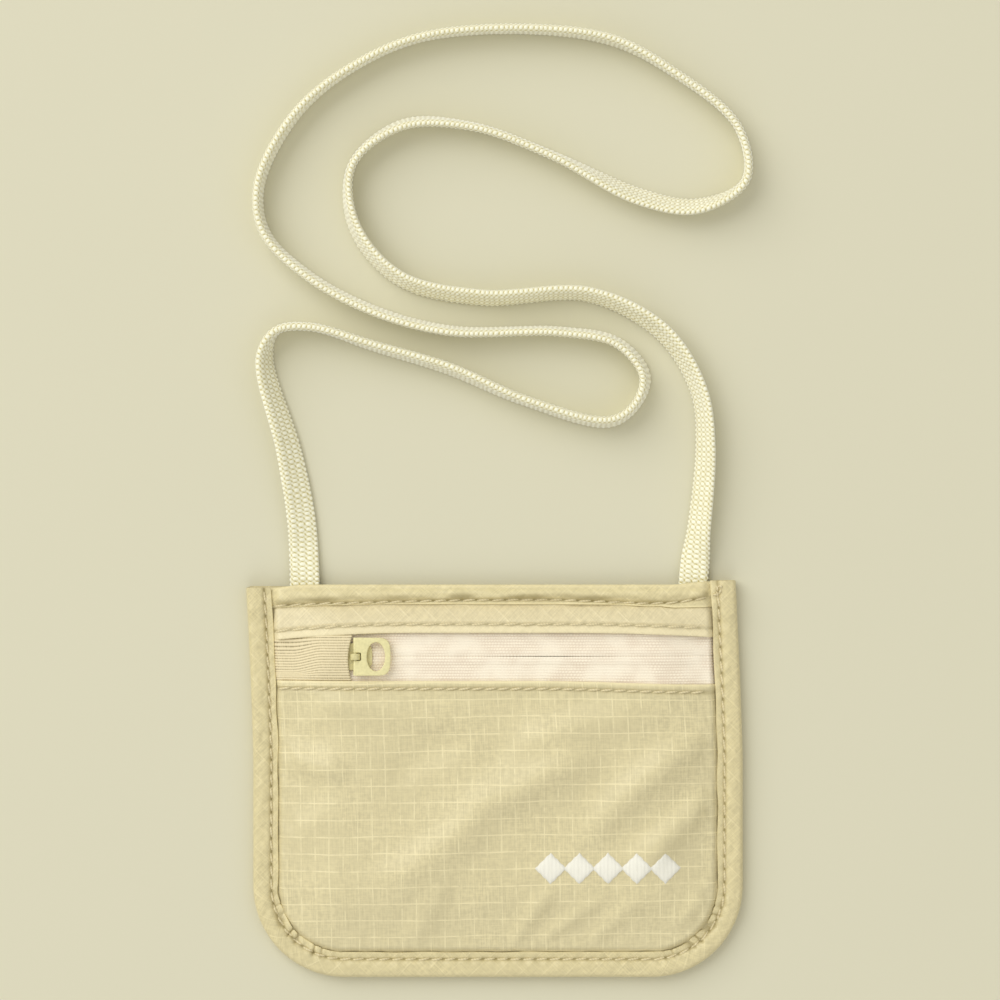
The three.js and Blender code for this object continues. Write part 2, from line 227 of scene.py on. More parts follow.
def cloth(name, middle, thickness, coords, relief, sharp=50):
    """A closed cloth of one thickness about a grid of points."""
    normals = unit(np.cross(np.gradient(middle, axis=0), np.gradient(middle, axis=1)))
    offset = normals * (thickness / 2)
    return make_mesh(name, *closed_sheet(middle + offset, middle - offset, coords, relief), sharp)


def joined(parts):
    """Many separate sheets or tubes as one: their points, faces and maps, each joined."""
    starts = np.cumsum([0] + [len(points) for points, *_ in parts])
    shifted = [(points, faces + start, *maps) for (points, faces, *maps), start in zip(parts, starts)]
    return [np.concatenate(column) for column in zip(*shifted)]


def needle_holes(along, pitch):
    """1 where the thread of a row goes down between two stitches, and about half along each one: how deep
    the painted shade of a seam's furrow is there.
    """
    return 0.55 + 0.45 * np.abs(np.cos(math.pi * along / pitch)) ** 8


def seam_shade(away, depth, width, holes):
    """1 on open cloth, less in the furrow of a row of stitches that is some way off: painted shade in the
    furrow.
    """
    return 1 - depth * holes * hump(away, width)


def fold_highlight(away, width=0.5, strength=0.8):
    """More than 1 along a fold: a painted highlight where the fold turns up to the light, to multiply a
    shade by.
    """
    return 1 + strength * hump(away, width)


def tuck_shade(x, y):
    """Painted shade where a layer goes in under the binding."""
    return 1 - 0.4 * hump(inset(x, y), 0.42)


def place(u, v, z):
    """Stacks plan positions and heights, with the pouch's lean."""
    return np.stack([u + lean(v), v, z], axis=-1)


def outline_half_width(y, margin):
    """Half the pouch's width at a height, drawn in by a margin: it narrows in the round corners."""
    radius = CORNER - margin
    drop = np.clip(BOTTOM + CORNER - y, 0, radius)
    return HALF - margin - radius + np.sqrt(radius**2 - drop**2)


# ---- Heights of the cloth ----

# Where towards the top the layers start to be pinched, and the strip starts to turn down to them.
SEAM_FROM = 39.8
STRIP_TURNS_DOWN = 40.2


def top_seam(y):
    """0 on the open pouch, rising to 1 where its layers are pinched in the top seam."""
    return smooth((y - SEAM_FROM) / (BAND_EDGE - SEAM_FROM))


def layer_z(levels, x, y):
    """A layer that climbs evenly from the binding to where it is free."""
    return mix(levels[0], levels[1], smooth(inset(x, y) / RISE))


def bulging_z(levels, step, x, y):
    """A layer that stands up beside the binding by a step, and climbs gently from there."""
    edge = inset(x, y)
    gentle = levels[1] - levels[0] - step
    return levels[0] + step * smooth((edge + 0.2) / 1.7) + gentle * smooth(edge / 16)


def front_base(x, y):
    return bulging_z(FRONT_Z, FRONT_STEP, x, y)


# The edges of the zip window, and how far the row of stitches beside each is from it.
WINDOW_LOW = 25.35
WINDOW_HIGH = 37.6
ZIP_ROW = 1.85
STRIP_ROW = 2.1


def window_low(x):
    """The zip window's lower edge, which is the front panel's fold and sags a little to the right."""
    return WINDOW_LOW - smooth((x - 10) / 45)


def window_high(x):
    """The zip window's upper edge, which is the strip's fold and droops towards both ends."""
    left, right = np.maximum(-x - 20, 0), np.maximum(x - 20, 0)
    return WINDOW_HIGH - 1.9 * left**2 / 1260 - 1.2 * right**2 / 1240


# Broad creases of the front panel: where each starts and ends, its height and its width.
CREASES = [
    ((-31, -26), (-4, -9), 2.1, 5.6),
    ((-8, -11), (23, 10), 2.4, 5.4),
    ((4, 7), (38, 19), 1.6, 4.2),
    ((22, -14), (55, 12), 2.0, 4.2),
    ((33, -20), (57, -3), 1.8, 3.8),
    ((-56, 9), (-38, 2), 1.75, 3.4),
    ((-46, 18), (-6, 16), 1.4, 4.2),
    ((-30, 2), (-8, 12), -0.9, 5.0),
    ((-54, -14), (-36, -6), 0.7, 4.0),
    ((2, -42), (15, -27), 0.75, 2.2),
    ((11, -42), (25, -28), 0.65, 1.9),
    ((21, -42), (38, -29), 0.7, 2.2),
    ((-24, -42), (-12, -24), 0.8, 3.4),
    ((44, -38), (56, -22), 0.8, 2.4),
]


def creases(x, y):
    """The broad creases' height, each bent a little and fading out at both ends."""
    total = np.zeros_like(x)
    for (x0, y0), (x1, y1), height, width in CREASES:
        length = math.hypot(x1 - x0, y1 - y0)
        dx, dy = (x1 - x0) / length, (y1 - y0) / length
        along = ((x - x0) * dx + (y - y0) * dy) / length
        bend = 0.05 * length * np.sin(along * 3.0 + x0)
        across = (y - y0) * dx - (x - x0) * dy + bend
        fade = smooth((along + 0.12) / 0.4) * smooth((1.12 - along) / 0.4)
        total += height * fade * hump(across, width)
    return total


def seam_puckers(x, y):
    """Small folds that the binding's stitches pull into the panel beside them."""
    edge = inset(x, y)
    beside = hump(edge - 2.4, 2.2)
    return 0.16 * beside * np.cos(2 * math.pi * (x + y) / 6.8 + 1.5 * np.sin(y / 9))


def front_z(x, y):
    """Height of the front panel: filled out, creased, and sewn down beside its fold."""
    edge = inset(x, y)
    below_fold = window_low(x) - y
    fill = smooth((edge - 2) / 20) * smooth((27 - y) / 24)
    free = smooth(edge / 6) * smooth((below_fold + 1) / 6)
    fine = 0.09 * ripples(x, y, 3, 12, 2.2, 0.7) + 0.045 * ripples(x, y, 4, 5, 2.4, 0.75)
    pull = 0.07 * np.cos(2 * math.pi * x / 6.4) * hump(below_fold - ZIP_ROW, 2.2)
    hem = 0.4 * smooth((5 - below_fold) / 4) - 0.3 * smooth(1 - below_fold) ** 2
    hem = (hem - 0.3 * hump(below_fold - ZIP_ROW, 0.6)) * smooth(edge / 2)
    return front_base(x, y) + 1.15 * fill + free * (creases(x, y) + fine) + pull + hem + seam_puckers(x, y)


def strip_z(x, y):
    """Height of the strip above the zip: raised over its hem, and down to the lining in the seam."""
    above_fold = y - window_high(x)
    hem = 0.45 * smooth((5 - above_fold) / 3) + 0.2 * smooth(1 - above_fold / STRIP_ROW)
    hem = (hem - 0.2 * hump(above_fold - STRIP_ROW, 0.5)) * smooth(inset(x, y) / 2)
    free = front_base(x, y) + hem + 0.09 * ripples(x, y, 7, 9, 2.5)
    seam = mix(FRONT_Z[0], LINING_Z[1] + PLY, smooth(inset(x, y) / 2.4))
    sewn_down = np.clip((y - STRIP_TURNS_DOWN) / (BAND_EDGE - STRIP_TURNS_DOWN), 0, 1) ** 1.5
    return mix(free, seam, sewn_down)


def lining_z(x, y):
    """Height of the pocket's lining, which climbs faster where the top seam holds it up."""
    rise = mix(RISE, 2.4, top_seam(y))
    pinched = LINING_Z[0] + PLY * top_seam(y)
    return mix(pinched, LINING_Z[1], smooth(inset(x, y) / rise))


# ---- Materials ----


class Shader:
    """One node material. Values that are the same all over are set on the shader itself."""

    def __init__(self, name, sheen=0.0, specular=0.5):
        self.material = bpy.data.materials.new(name)
        self.material.use_nodes = True
        self.tree = self.material.node_tree
        self.tree.nodes.clear()
        self.surface = self.node("BsdfPrincipled")
        self.set("Sheen Weight", sheen)
        self.set("Specular IOR Level", specular)
        self.node("OutputMaterial", {"Surface": self.surface.outputs[0]})
        self.cloth = self.node("UVMap", uv_map="cloth_mm").outputs[0]

    def node(self, kind, inputs=None, **settings):
        """A new node, with inputs by name or number that are linked to sockets or set to values."""
        made = self.tree.nodes.new("ShaderNode" + kind)
        for key, value in settings.items():
            setattr(made, key, value)
        for key, value in (inputs or {}).items():
            self.feed(made.inputs[key], value)
        return made

    def feed(self, socket, value):
        if isinstance(value, bpy.types.NodeSocket):
            self.tree.links.new(value, socket)
        else:
            socket.default_value = value

    def set(self, name, value):
        self.feed(self.surface.inputs[name], value)

    def position(self):
        """The place in the object, in millimetres."""
        return self.turned(self.node("TexCoord").outputs["Object"], (1 / MM,) * 3)

    def math(self, operation, *values):
        return self.node("Math", dict(enumerate(values)), operation=operation).outputs[0]

    def add(self, a, b):
        return self.math("ADD", a, b)

    def scale(self, a, b):
        return self.math("MULTIPLY", a, b)

    def ramp(self, value, low, high, to_low=0.0, to_high=1.0):
        """A smooth change from one number to another while the value goes from low to high."""
        inputs = dict(enumerate((value, low, high, to_low, to_high)))
        return self.node("MapRange", inputs, interpolation_type="SMOOTHSTEP").outputs[0]

    def blend(self, factor, a, b):
        return self.node("Mix", {0: factor, 6: a, 7: b}, data_type="RGBA").outputs[2]

    def turned(self, source, scale=(1, 1, 1), angle=0.0):
        inputs = {"Vector": source, "Rotation": (0, 0, angle), "Scale": scale}
        return self.node("Mapping", inputs).outputs[0]

    def parts(self, source):
        return self.node("SeparateXYZ", {0: source}).outputs

    def noise(self, source, size, detail=2.0, roughness=0.5):
        """Noise of about 0 to 1 whose features are size across in the source's units."""
        inputs = {"Vector": source, "Scale": 1 / size, "Detail": detail, "Roughness": roughness}
        return self.node("TexNoise", inputs).outputs["Fac"]

    def fibres(self, source, wide, tall, detail=2.0, angle=0.0):
        """Noise whose features are drawn out, wide and tall in the source's units."""
        return self.noise(self.turned(source, (1 / wide, 1 / tall, 1), angle), 1.0, detail)

    def stripes(self, coordinate, pitch, width):
        """1 along thin lines a pitch apart, 0 between them."""
        place_in = self.math("FRACT", self.scale(coordinate, 1 / pitch))
        from_middle = self.math("ABSOLUTE", self.math("SUBTRACT", place_in, 0.5))
        return self.ramp(from_middle, width / pitch, 0.25 * width / pitch)

    def relief(self):
        """The map of heights, or of painted shade and highlight, that the piece brings along."""
        return self.node("Attribute", attribute_name="relief").outputs["Fac"]

    def finish(self, colour, rough, height, depth, strength):
        """Sets the colour, the roughness and a bump of a depth in millimetres."""
        self.set("Base Color", colour)
        self.set("Roughness", rough)
        inputs = {"Strength": strength, "Distance": depth * MM, "Height": height}
        self.set("Normal", self.node("Bump", inputs).outputs[0])
        return self.material


def srgb(red, green, blue):
    """A colour given as 0 to 255 on screen, as the renderer holds it."""
    shares = [value / 255 for value in (red, green, blue)]
    return tuple(((s + 0.055) / 1.055) ** 2.4 if s > 0.04 else s / 12.92 for s in shares) + (1,)


def tinted(colour, *shares):
    """A colour with its red, green and blue multiplied, all by one share or each by its own."""
    return tuple(value * share for value, share in zip(colour, shares * (3 // len(shares)))) + (1,)


def ripstop(name, colour, angle=0.0, lines_shown=0.72):
    """Plain weave with a heavier thread every few millimetres both ways.

    The relief map sets painted shade and highlight: 0 is full painted shade where the cloth is tucked in, 1
    is open cloth, and 2 is a painted highlight along a fold.
    """
    shader = Shader(name, sheen=0.15, specular=0.5)
    plan = shader.turned(shader.cloth, angle=angle)
    sway = shader.noise(plan, 16.0, 1.0)
    x, y, _ = shader.parts(plan)
    x = shader.add(x, shader.scale(sway, 0.8))
    y = shader.add(y, sway)
    patchy = shader.noise(plan, 5.0, 4.0, 0.6)
    across = shader.scale(shader.stripes(x, 3.6, 0.25), shader.ramp(patchy, 0.42, 0.6, 0.1, 0.9))
    along = shader.scale(shader.stripes(y, 4.25, 0.25), shader.ramp(patchy, 0.36, 0.56, 0.25, 1.0))
    lines = shader.math("MAXIMUM", across, along)
    warp = shader.fibres(plan, 0.3, 6.0, 3.0)
    weft = shader.fibres(plan, 5.0, 0.3, 3.0)
    weave = shader.add(shader.scale(warp, 0.6), shader.scale(weft, 0.4))
    tone = shader.ramp(shader.noise(plan, 20.0), 0.3, 0.7)
    mottle = shader.noise(plan, 1.2, 3.0, 0.6)
    fine = shader.add(shader.scale(weave, 0.65), shader.scale(mottle, 0.35))
    body = shader.blend(shader.ramp(fine, 0.38, 0.62), tinted(colour, 0.87), tinted(colour, 1.1))
    body = shader.blend(shader.scale(tone, 0.5), body, tinted(colour, 0.95))
    pale = tuple(min(1, value * 1.24 + 0.04) for value in colour[:3]) + (1,)
    body = shader.blend(shader.scale(lines, lines_shown), body, pale)
    # Painted highlight along folds, where the relief map rises from 1 to 2.
    body = shader.blend(shader.ramp(shader.relief(), 1.0, 2.0, 0.0, 0.8), body, pale)
    # Painted shade towards dark olive where the relief map falls from 1 to 0: in tucks, furrows and
    # creases.
    body = shader.blend(shader.relief(), tinted(colour, 0.36, 0.32, 0.18), body)
    height = shader.add(shader.scale(lines, 0.5), shader.scale(weave, 0.8))
    return shader.finish(body, shader.ramp(weave, 0.3, 0.7, 0.54, 0.38), height, 0.09, 0.9)


def knitted_tape(name, colour):
    """Zip tape: fine rows of small loops along its length, with painted shade in the knit's dips and where
    the folds overhang it.
    """
    shader = Shader(name, sheen=0.2, specular=0.25)
    fuzz = shader.noise(shader.cloth, 0.22)
    level = shader.add(shader.relief(), shader.scale(shader.math("SUBTRACT", fuzz, 0.5), 0.5))
    # Painted shade: darker where the relief map is low.
    body = shader.blend(shader.ramp(level, 0.0, 0.75), tinted(colour, 0.8, 0.75, 0.72), colour)
    batch = shader.ramp(shader.noise(shader.cloth, 9.0), 0.4, 0.7)
    body = shader.blend(batch, body, tinted(colour, 0.96))
    return shader.finish(body, shader.ramp(fuzz, 0.3, 0.7, 0.88, 0.72), level, 0.05, 0.7)


def ribbed_ribbon(name, colour):
    """Grosgrain: round cords across the weave, bound by fine threads."""
    shader = Shader(name, sheen=0.3, specular=0.35)
    bind = shader.fibres(shader.cloth, 0.25, 1.4)
    # Painted shade between the round cords, where the relief map is low.
    body = shader.blend(shader.ramp(shader.relief(), 0.1, 1.0), tinted(colour, 0.28, 0.24, 0.16), colour)
    body = shader.blend(shader.ramp(bind, 0.35, 0.65, 0.0, 0.5), body, tinted(colour, 1.08))
    return shader.finish(body, shader.ramp(bind, 0.3, 0.7, 0.72, 0.55), bind, 0.05, 0.6)


def braided_yarn(name, colour, dip_shade):
    """Twisted yarn: pale where it stands up and darker in the dips as painted shade, with fine filaments.
    """
    shader = Shader(name, sheen=0.8, specular=0.4)
    fibre = shader.fibres(shader.cloth, 0.5, 0.12, angle=0.6)
    level = shader.add(shader.relief(), shader.scale(shader.math("SUBTRACT", fibre, 0.5), 0.3))
    # Painted shade in the braid's dips, where the relief map is low.
    body = shader.blend(shader.ramp(level, 0.0, 0.55), dip_shade, colour)
    batch = shader.ramp(shader.noise(shader.cloth, 5.0), 0.35, 0.7, 0.0, 0.1)
    body = shader.blend(batch, body, dip_shade)
    return shader.finish(body, shader.ramp(fibre, 0.3, 0.7, 0.7, 0.5), fibre, 0.05, 0.7)


def sewing_thread(name, colour):
    """Two-ply thread with a visible twist."""
    shader = Shader(name, sheen=0.2, specular=0.4)
    u, v, _ = shader.parts(shader.cloth)
    twist = shader.math("SINE", shader.add(shader.scale(u, 9.0), shader.scale(v, 2 * math.pi)))
    fibre = shader.noise(shader.cloth, 0.15)
    level = shader.add(shader.scale(twist, 0.5), fibre)
    # Painted shade along the grooves of the twist.
    body = shader.blend(shader.ramp(level, 0.0, 1.0), tinted(colour, 0.84), colour)
    return shader.finish(body, shader.ramp(fibre, 0.3, 0.7, 0.68, 0.5), level, 0.03, 0.6)


def satin_stitch(name, colour):
    """Embroidery: parallel glossy threads."""
    shader = Shader(name, sheen=0.2, specular=0.5)
    fibre = shader.fibres(shader.cloth, 0.1, 1.6)
    # Painted shade between the laid threads and towards each diamond's rim, where the relief map is low.
    body = shader.blend(shader.ramp(shader.relief(), 0.05, 0.8), tinted(colour, 0.66), colour)
    body = shader.blend(shader.scale(fibre, 0.3), body, tinted(colour, 0.9))
    return shader.finish(body, shader.ramp(fibre, 0.3, 0.7, 0.55, 0.4), fibre, 0.04, 0.6)


def painted_metal(name, colour):
    """Zinc casting under satin paint, rubbed pale at its worn places."""
    shader = Shader(name)
    shader.set("Coat Weight", 0.15)
    cast = shader.noise(shader.position(), 0.7, 3.0)
    rub = shader.noise(shader.position(), 2.6, 4.0, 0.6)
    worn = shader.ramp(rub, 0.58, 0.74, 0.0, 0.35)
    body = shader.blend(shader.ramp(cast, 0.3, 0.7), tinted(colour, 0.93), tinted(colour, 1.04))
    body = shader.blend(worn, body, tinted(colour, 1.16))
    return shader.finish(body, shader.ramp(rub, 0.35, 0.7, 0.36, 0.5), cast, 0.03, 0.5)


def moulded_coil(name, colour):
    """Nylon wire with a faint grain."""
    shader = Shader(name)
    grain = shader.noise(shader.position(), 0.3)
    body = shader.blend(shader.ramp(grain, 0.3, 0.7), tinted(colour, 0.88), colour)
    return shader.finish(body, shader.ramp(grain, 0.3, 0.7, 0.35, 0.5), grain, 0.02, 0.4)


def pale_floor(name, colour):
    """Matt paper, a little uneven in tone."""
    shader = Shader(name, specular=0.1)
    shader.set("Roughness", 0.9)
    tone = shader.noise(shader.position(), 60.0)
    shader.set("Base Color", shader.blend(tone, tinted(colour, 0.985), colour))
    return shader.material


def wear(thing, material, slot, *nodes, body="pouch"):
    """Gives a piece its material and the body it rides on, and hides the nodes it stands for. The slot is
    not used.
    """
    thing.data.materials.append(material)
    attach(thing, body)
    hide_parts(*nodes)


# ---- Camera, light and floor ----

# How wide the view is at a level just over the pouch, and the point that it looks down on.
VIEW_WIDTH = 252.0
VIEW_LEVEL = 4.0
VIEW_CENTRE = (0.9, 70.9)
LENS = 100.0
SENSOR = 36.0

# Square lamps: where each stands in metres, its power and its size. All face one point.
LAMPS = {
    "key": ((-1.65, 1.6, 1.9), 63, 2.7),
    "fill": ((1.8, -0.6, 2.2), 8, 2.2),
    "front": ((-0.2, -1.8, 1.6), 8, 1.8),
}
LAMPS_AIM = (0, 0.06, 0)
FLOOR_REACH = 3000.0
FLOOR_Z = -0.05


def add_camera():
    camera = bpy.data.cameras.new("camera")
    camera.lens = LENS
    camera.sensor_width = SENSOR
    camera.clip_end = 10
    holder = add_object("camera", camera)
    height = VIEW_WIDTH * LENS / SENSOR + VIEW_LEVEL
    holder.location = (VIEW_CENTRE[0] * MM, VIEW_CENTRE[1] * MM, height * MM)
    bpy.context.scene.camera = holder


def add_lamp(name, stand, power, size):
    lamp = bpy.data.lights.new(name, "AREA")
    lamp.energy = power
    lamp.size = size
    holder = add_object(name, lamp)
    holder.location = stand
    away = np.array(stand) - np.array(LAMPS_AIM)
    tilt = math.atan2(math.hypot(away[0], away[1]), away[2])
    holder.rotation_euler = (tilt, 0, math.atan2(away[0], -away[1]))


def add_floor():
    plan = ((-1, -1), (1, -1), (1, 1), (-1, 1))
    corners = np.array([(x * FLOOR_REACH, y * FLOOR_REACH, FLOOR_Z) for x, y in plan])
    floor = make_mesh("studio_floor", corners, np.array([[0, 1, 2, 3]]))
    floor.data.materials.append(pale_floor("floor", srgb(217, 213, 187)))


def add_studio():
    add_camera()
    for name, (stand, power, size) in LAMPS.items():
        add_lamp(name, stand, power, size)
    world = bpy.data.worlds.new("studio")
    world.use_nodes = True
    background = world.node_tree.nodes["Background"]
    background.inputs["Color"].default_value = (1.0, 0.99, 0.96, 1)
    background.inputs["Strength"].default_value = 0.535
    bpy.context.scene.world = world
    bpy.context.scene.view_settings.view_transform = "Standard"
    add_floor()


# ---- Neck cord ----

# The cord's route in metres, from the left end to the right one, as in the part.
CORD_ROUTE = [
    (-0.0484, 0.0498), (-0.0493, 0.066), (-0.0525, 0.0835), (-0.0585, 0.107), (-0.0554, 0.1136),
    (-0.047, 0.1145), (-0.031, 0.1097), (-0.012, 0.104), (0.007, 0.096), (0.0286, 0.0906),
    (0.0352, 0.095), (0.0374, 0.1023), (0.0306, 0.1105), (0.016, 0.1134), (-0.0118, 0.1136),
    (-0.0308, 0.1186), (-0.0476, 0.1276), (-0.0584, 0.1385), (-0.0598, 0.1503), (-0.051, 0.1676),
    (-0.0374, 0.1793), (-0.0167, 0.188), (0.0262, 0.1876), (0.0455, 0.1782), (0.061, 0.1648),
    (0.0628, 0.1515), (0.051, 0.145), (0.0362, 0.1473), (0.0137, 0.158), (-0.0067, 0.1652),
    (-0.024, 0.1654), (-0.0364, 0.1554), (-0.036, 0.1405), (-0.0247, 0.127), (-0.0042, 0.122),
    (0.0235, 0.1227), (0.042, 0.1132), (0.051, 0.0988), (0.0528, 0.084), (0.0497, 0.0498),
]
# How far the braid is turned on edge at each of those points, in degrees. Past 90 it leans out.
CORD_TURN = [
    4, 20, 40, 67, 92, 91, 83, 80, 86, 82,
    84, 77, 78, 79, 78, 78, 80, 84, 88, 89,
    92, 95, 88, 97, 96, 88, 64, 60, 77, 80,
    76, 83, 74, 76, 72, 71, 68, 67, 58, 30,
]
CORD_WIDTH = 7.4
CORD_THICKNESS = 1.95
# How far the ends go on into the seam, how thick they are there, and the height of their middle.
CORD_SEWN = 5.0
CORD_SQUEEZED = 1.15
CORD_SEWN_Z = 1.62
CORD_CLEARANCE = 0.08
CORD_LOWEST = 0.04
# The braid's stitches, and the points that each is drawn with across and along the cord.
BRAID_COLUMNS = 9
BRAID_SAMPLES = 4
BRAID_STITCH = 1.24
RINGS_PER_STITCH = 6


def catmull_rom(points, samples):
    """A centripetal Catmull-Rom line through points, with some samples between each two."""
    points = np.array(points)
    known = np.vstack([2 * points[0] - points[1], points, 2 * points[-1] - points[-2]])
    line = []
    for k in range(len(points) - 1):
        blends = known[k:k + 4]
        steps = np.linalg.norm(np.diff(blends[:, :2], axis=0), axis=1)
        knots = np.concatenate([[0], np.cumsum(np.sqrt(steps))])
        t = np.linspace(knots[1], knots[2], samples, endpoint=False)[:, None]
        # Each round blends neighbours between two knots: first 4 points to 3, then 2, then the line.
        for starts, ends in ((knots[:3], knots[1:]), (knots[:2], knots[2:]), (knots[1:2], knots[2:3])):
            blends = [((end - t) * p + (t - start) * q) / (end - start)
                      for start, end, p, q in zip(starts, ends, blends, blends[1:])]
        line.append(blends[0])
    return np.vstack([*line, points[-1]])


def even_spacing(line, step):
    """The same line, sampled at equal distances along its plan, and those distances."""
    lengths = distances(line[:, :2])
    wanted = np.linspace(0, lengths[-1], int(lengths[-1] / step))
    return points_along(line, lengths, wanted), wanted


def braid_relief(stitches, columns):
    """Height of a flat braid: rows of round beads, with flatter ones half way between them."""

    def beads(u, v):
        return ((0.5 + 0.5 * np.cos(2 * math.pi * u)) * (0.5 + 0.5 * np.cos(2 * math.pi * v))) ** 0.75

    return np.maximum(beads(columns, stitches), 0.5 * beads(columns + 0.5, stitches + 0.5))


def stadium(width, thickness, share):
    """Points round flat faces with round edges, and headings out of them, for shares of the way."""
    radius = thickness / 2
    straight = width - thickness
    quarter = math.pi / 2 * radius
    half = straight + 2 * quarter
    walked = share * 2 * half
    run = np.where(walked >= half, walked - half, walked)
    level = np.clip(run - quarter, 0, straight)
    heading = (np.clip(run, 0, quarter) + np.clip(run - quarter - straight, 0, quarter)) / radius
    across = straight / 2 - level + radius * np.cos(heading)
    up = radius * np.sin(heading)
    flip = np.where(walked >= half, -1, 1)
    return [value * flip for value in (across, up, np.cos(heading), np.sin(heading))]


def add_cord():
    route = [(x / MM, y / MM, turn) for (x, y), turn in zip(CORD_ROUTE, CORD_TURN)]
    start, end = ((x, y - CORD_SEWN, 0.0) for x, y, _ in (route[0], route[-1]))
    line, along = even_spacing(catmull_rom([start, *route, end], 24), BRAID_STITCH / RINGS_PER_STITCH)
    from_seam = np.minimum(along, along[-1] - along) - CORD_SEWN
    # The seam holds the ends flat, and the cord is free to turn only some way out of it.
    loose = smooth(from_seam / 14)
    turn = np.radians(line[:, 2] + 1.5 * ripples(along, along * 0, 11, 40)) * loose
    thickness = mix(CORD_SQUEEZED, CORD_THICKNESS, smooth((from_seam + 1) / 5))
    width = CORD_WIDTH * (1 + 0.03 * ripples(along, along * 0, 12, 25))
    lying_z = 0.5 * np.hypot(width * np.sin(turn), thickness * np.cos(turn)) + CORD_CLEARANCE
    centre = np.column_stack([line[:, :2], mix(CORD_SEWN_Z, lying_z, smooth(from_seam / 10))])
    heading_x, heading_y = unit(np.gradient(line[:, :2], axis=0)).T
    broad = np.stack([-heading_y * np.cos(turn), heading_x * np.cos(turn), np.sin(turn)], axis=1)
    thin = np.stack([heading_y * np.sin(turn), -heading_x * np.sin(turn), np.cos(turn)], axis=1)
    share = np.linspace(0, 1, BRAID_COLUMNS * BRAID_SAMPLES, endpoint=False)[None, :]
    reach, lift, out_across, out_up = stadium(width[:, None], thickness[:, None], share)
    slip = 0.12 * ripples(along[:, None], share * 14, 13, 5)
    relief = braid_relief(np.arange(len(line))[:, None] / RINGS_PER_STITCH + slip, share * BRAID_COLUMNS)
    # Each bead stands out of the flat faces and the round edges.
    stitch = 0.36 * (relief - 0.6)
    reach = reach + stitch * out_across
    lift = lift + stitch * out_up
    points = centre[:, None] + broad[:, None] * reach[..., None] + thin[:, None] * lift[..., None]
    points[..., 2] = np.maximum(points[..., 2], CORD_LOWEST)
    coords = np.stack(np.broadcast_arrays(along[:, None], share * BRAID_COLUMNS * 2.0), axis=-1)
    faces = tube_faces(*relief.shape)[:, ::-1]
    cord = make_mesh("neck_cord_braid", points.reshape(-1, 3), faces,
                     coords.reshape(-1, 2), relief.ravel(), sharp=80)
    # The second colour is the painted shade in the braid's dips.
    yarn = braided_yarn("braided yarn", srgb(255, 253, 228), srgb(194, 178, 96))
    wear(cord, yarn, "braid", "neck_cord", "cord_end_left", "cord_end_right")


# ---- Rows of stitches ----

# How far the rows reach to each side, and the pitch of each.
ROW_REACH = INNER - 0.5
BAND_PITCH = 3.65
STRIP_PITCH = 4.1
ZIP_PITCH = 3.25
BINDING_PITCH = 3.3

# ---- Fabric panels ----

FABRIC_COLOUR = srgb(217, 205, 160)
BINDING_COLOUR = srgb(217, 204, 156)
BAND_COLOUR = srgb(221, 208, 160)
STRIP_COLOUR = srgb(226, 213, 171)
FRONT_HEM = 2.8
STRIP_HEM = 2.6
# How far below the pouch's top edge the strip ends, inside the band.
STRIP_ENDS = 0.9


def add_plain_panel(name, node, high, surface, tone):
    """A panel with the pouch's outline up to a height, and no fold of its own."""
    u = np.linspace(-1, 1, 150)[None, :]
    y = mix(BOTTOM + PANEL_MARGIN, high, np.linspace(0, 1, 120)[:, None]) + 0 * u
    x = u * outline_half_width(y, PANEL_MARGIN)
    points, coords = place(x, y, surface(x, y)), np.stack([x, y], axis=-1)
    panel = cloth(name + "_cloth", points[:, ::-1], CLOTH, coords[:, ::-1], np.full_like(x, tone))
    wear(panel, ripstop(name + " ripstop", tinted(FABRIC_COLOUR, tone)), "ripstop", node)


def back_surface(x, y):
    return BACK_Z + 0.07 * ripples(x, y, 21, 26, 1.5, 0.4) * smooth(inset(x, y) / 10)


def lining_surface(x, y):
    return lining_z(x, y) + 0.05 * ripples(x, y, 22, 24) * smooth(inset(x, y) / 14) * (1 - top_seam(y))


def hem_offsets(radius, bend_rows, hem, hem_rows):
    """How far out and up the rows of a hem are from a cloth's edge: round a fold, then back."""
    bend = np.linspace(0, math.pi, bend_rows)[1:, None]
    back = np.linspace(0, hem, hem_rows)[1:, None]
    out = np.concatenate([radius * np.sin(bend), -back])
    up = np.concatenate([radius * (np.cos(bend) - 1), np.full_like(back, -2 * radius)])
    return out, up


def with_hem(*grids_and_offsets):
    """Grids of a cloth, each with its hem's rows added after its last row."""
    return [np.concatenate([grid, grid[-1:] + offset]) for grid, offset in grids_and_offsets]


def add_front_panel():
    rows = np.linspace(0, 1, 180)[:, None]
    # The rows stand closer together towards the fold.
    share = mix(rows, np.sin(math.pi / 2 * rows), 0.5)
    u = np.linspace(-1, 1, 250)[None, :]
    y = mix(BOTTOM + PANEL_MARGIN, window_low(u * (HALF - 1)) - FOLD, share)
    x = u * outline_half_width(y, PANEL_MARGIN)
    out, up = hem_offsets(FOLD, 9, FRONT_HEM, 9)
    x, y, z = with_hem((x, 0 * out), (y, out), (front_z(x, y), up))
    along = distances(np.stack([y[:, 0], z[:, 0]], axis=1))
    coords = np.stack([x, along[:, None] + 0 * x], axis=-1)
    below_fold = window_low(x) - y
    # Painted shade where the panel goes in under the binding and in the furrow of the zip's row of
    # stitches, and a painted highlight along the fold.
    shade = tuck_shade(x, y) * fold_highlight(below_fold - 0.1)
    shade = shade * seam_shade(below_fold - ZIP_ROW, 0.62, 0.6, needle_holes(x + ROW_REACH, ZIP_PITCH))
    panel = cloth("front_cloth", place(x, y, z)[:, ::-1], CLOTH, coords[:, ::-1], shade[:, ::-1])
    wear(panel, ripstop("front ripstop", FABRIC_COLOUR, -0.015), "ripstop", "front_panel")


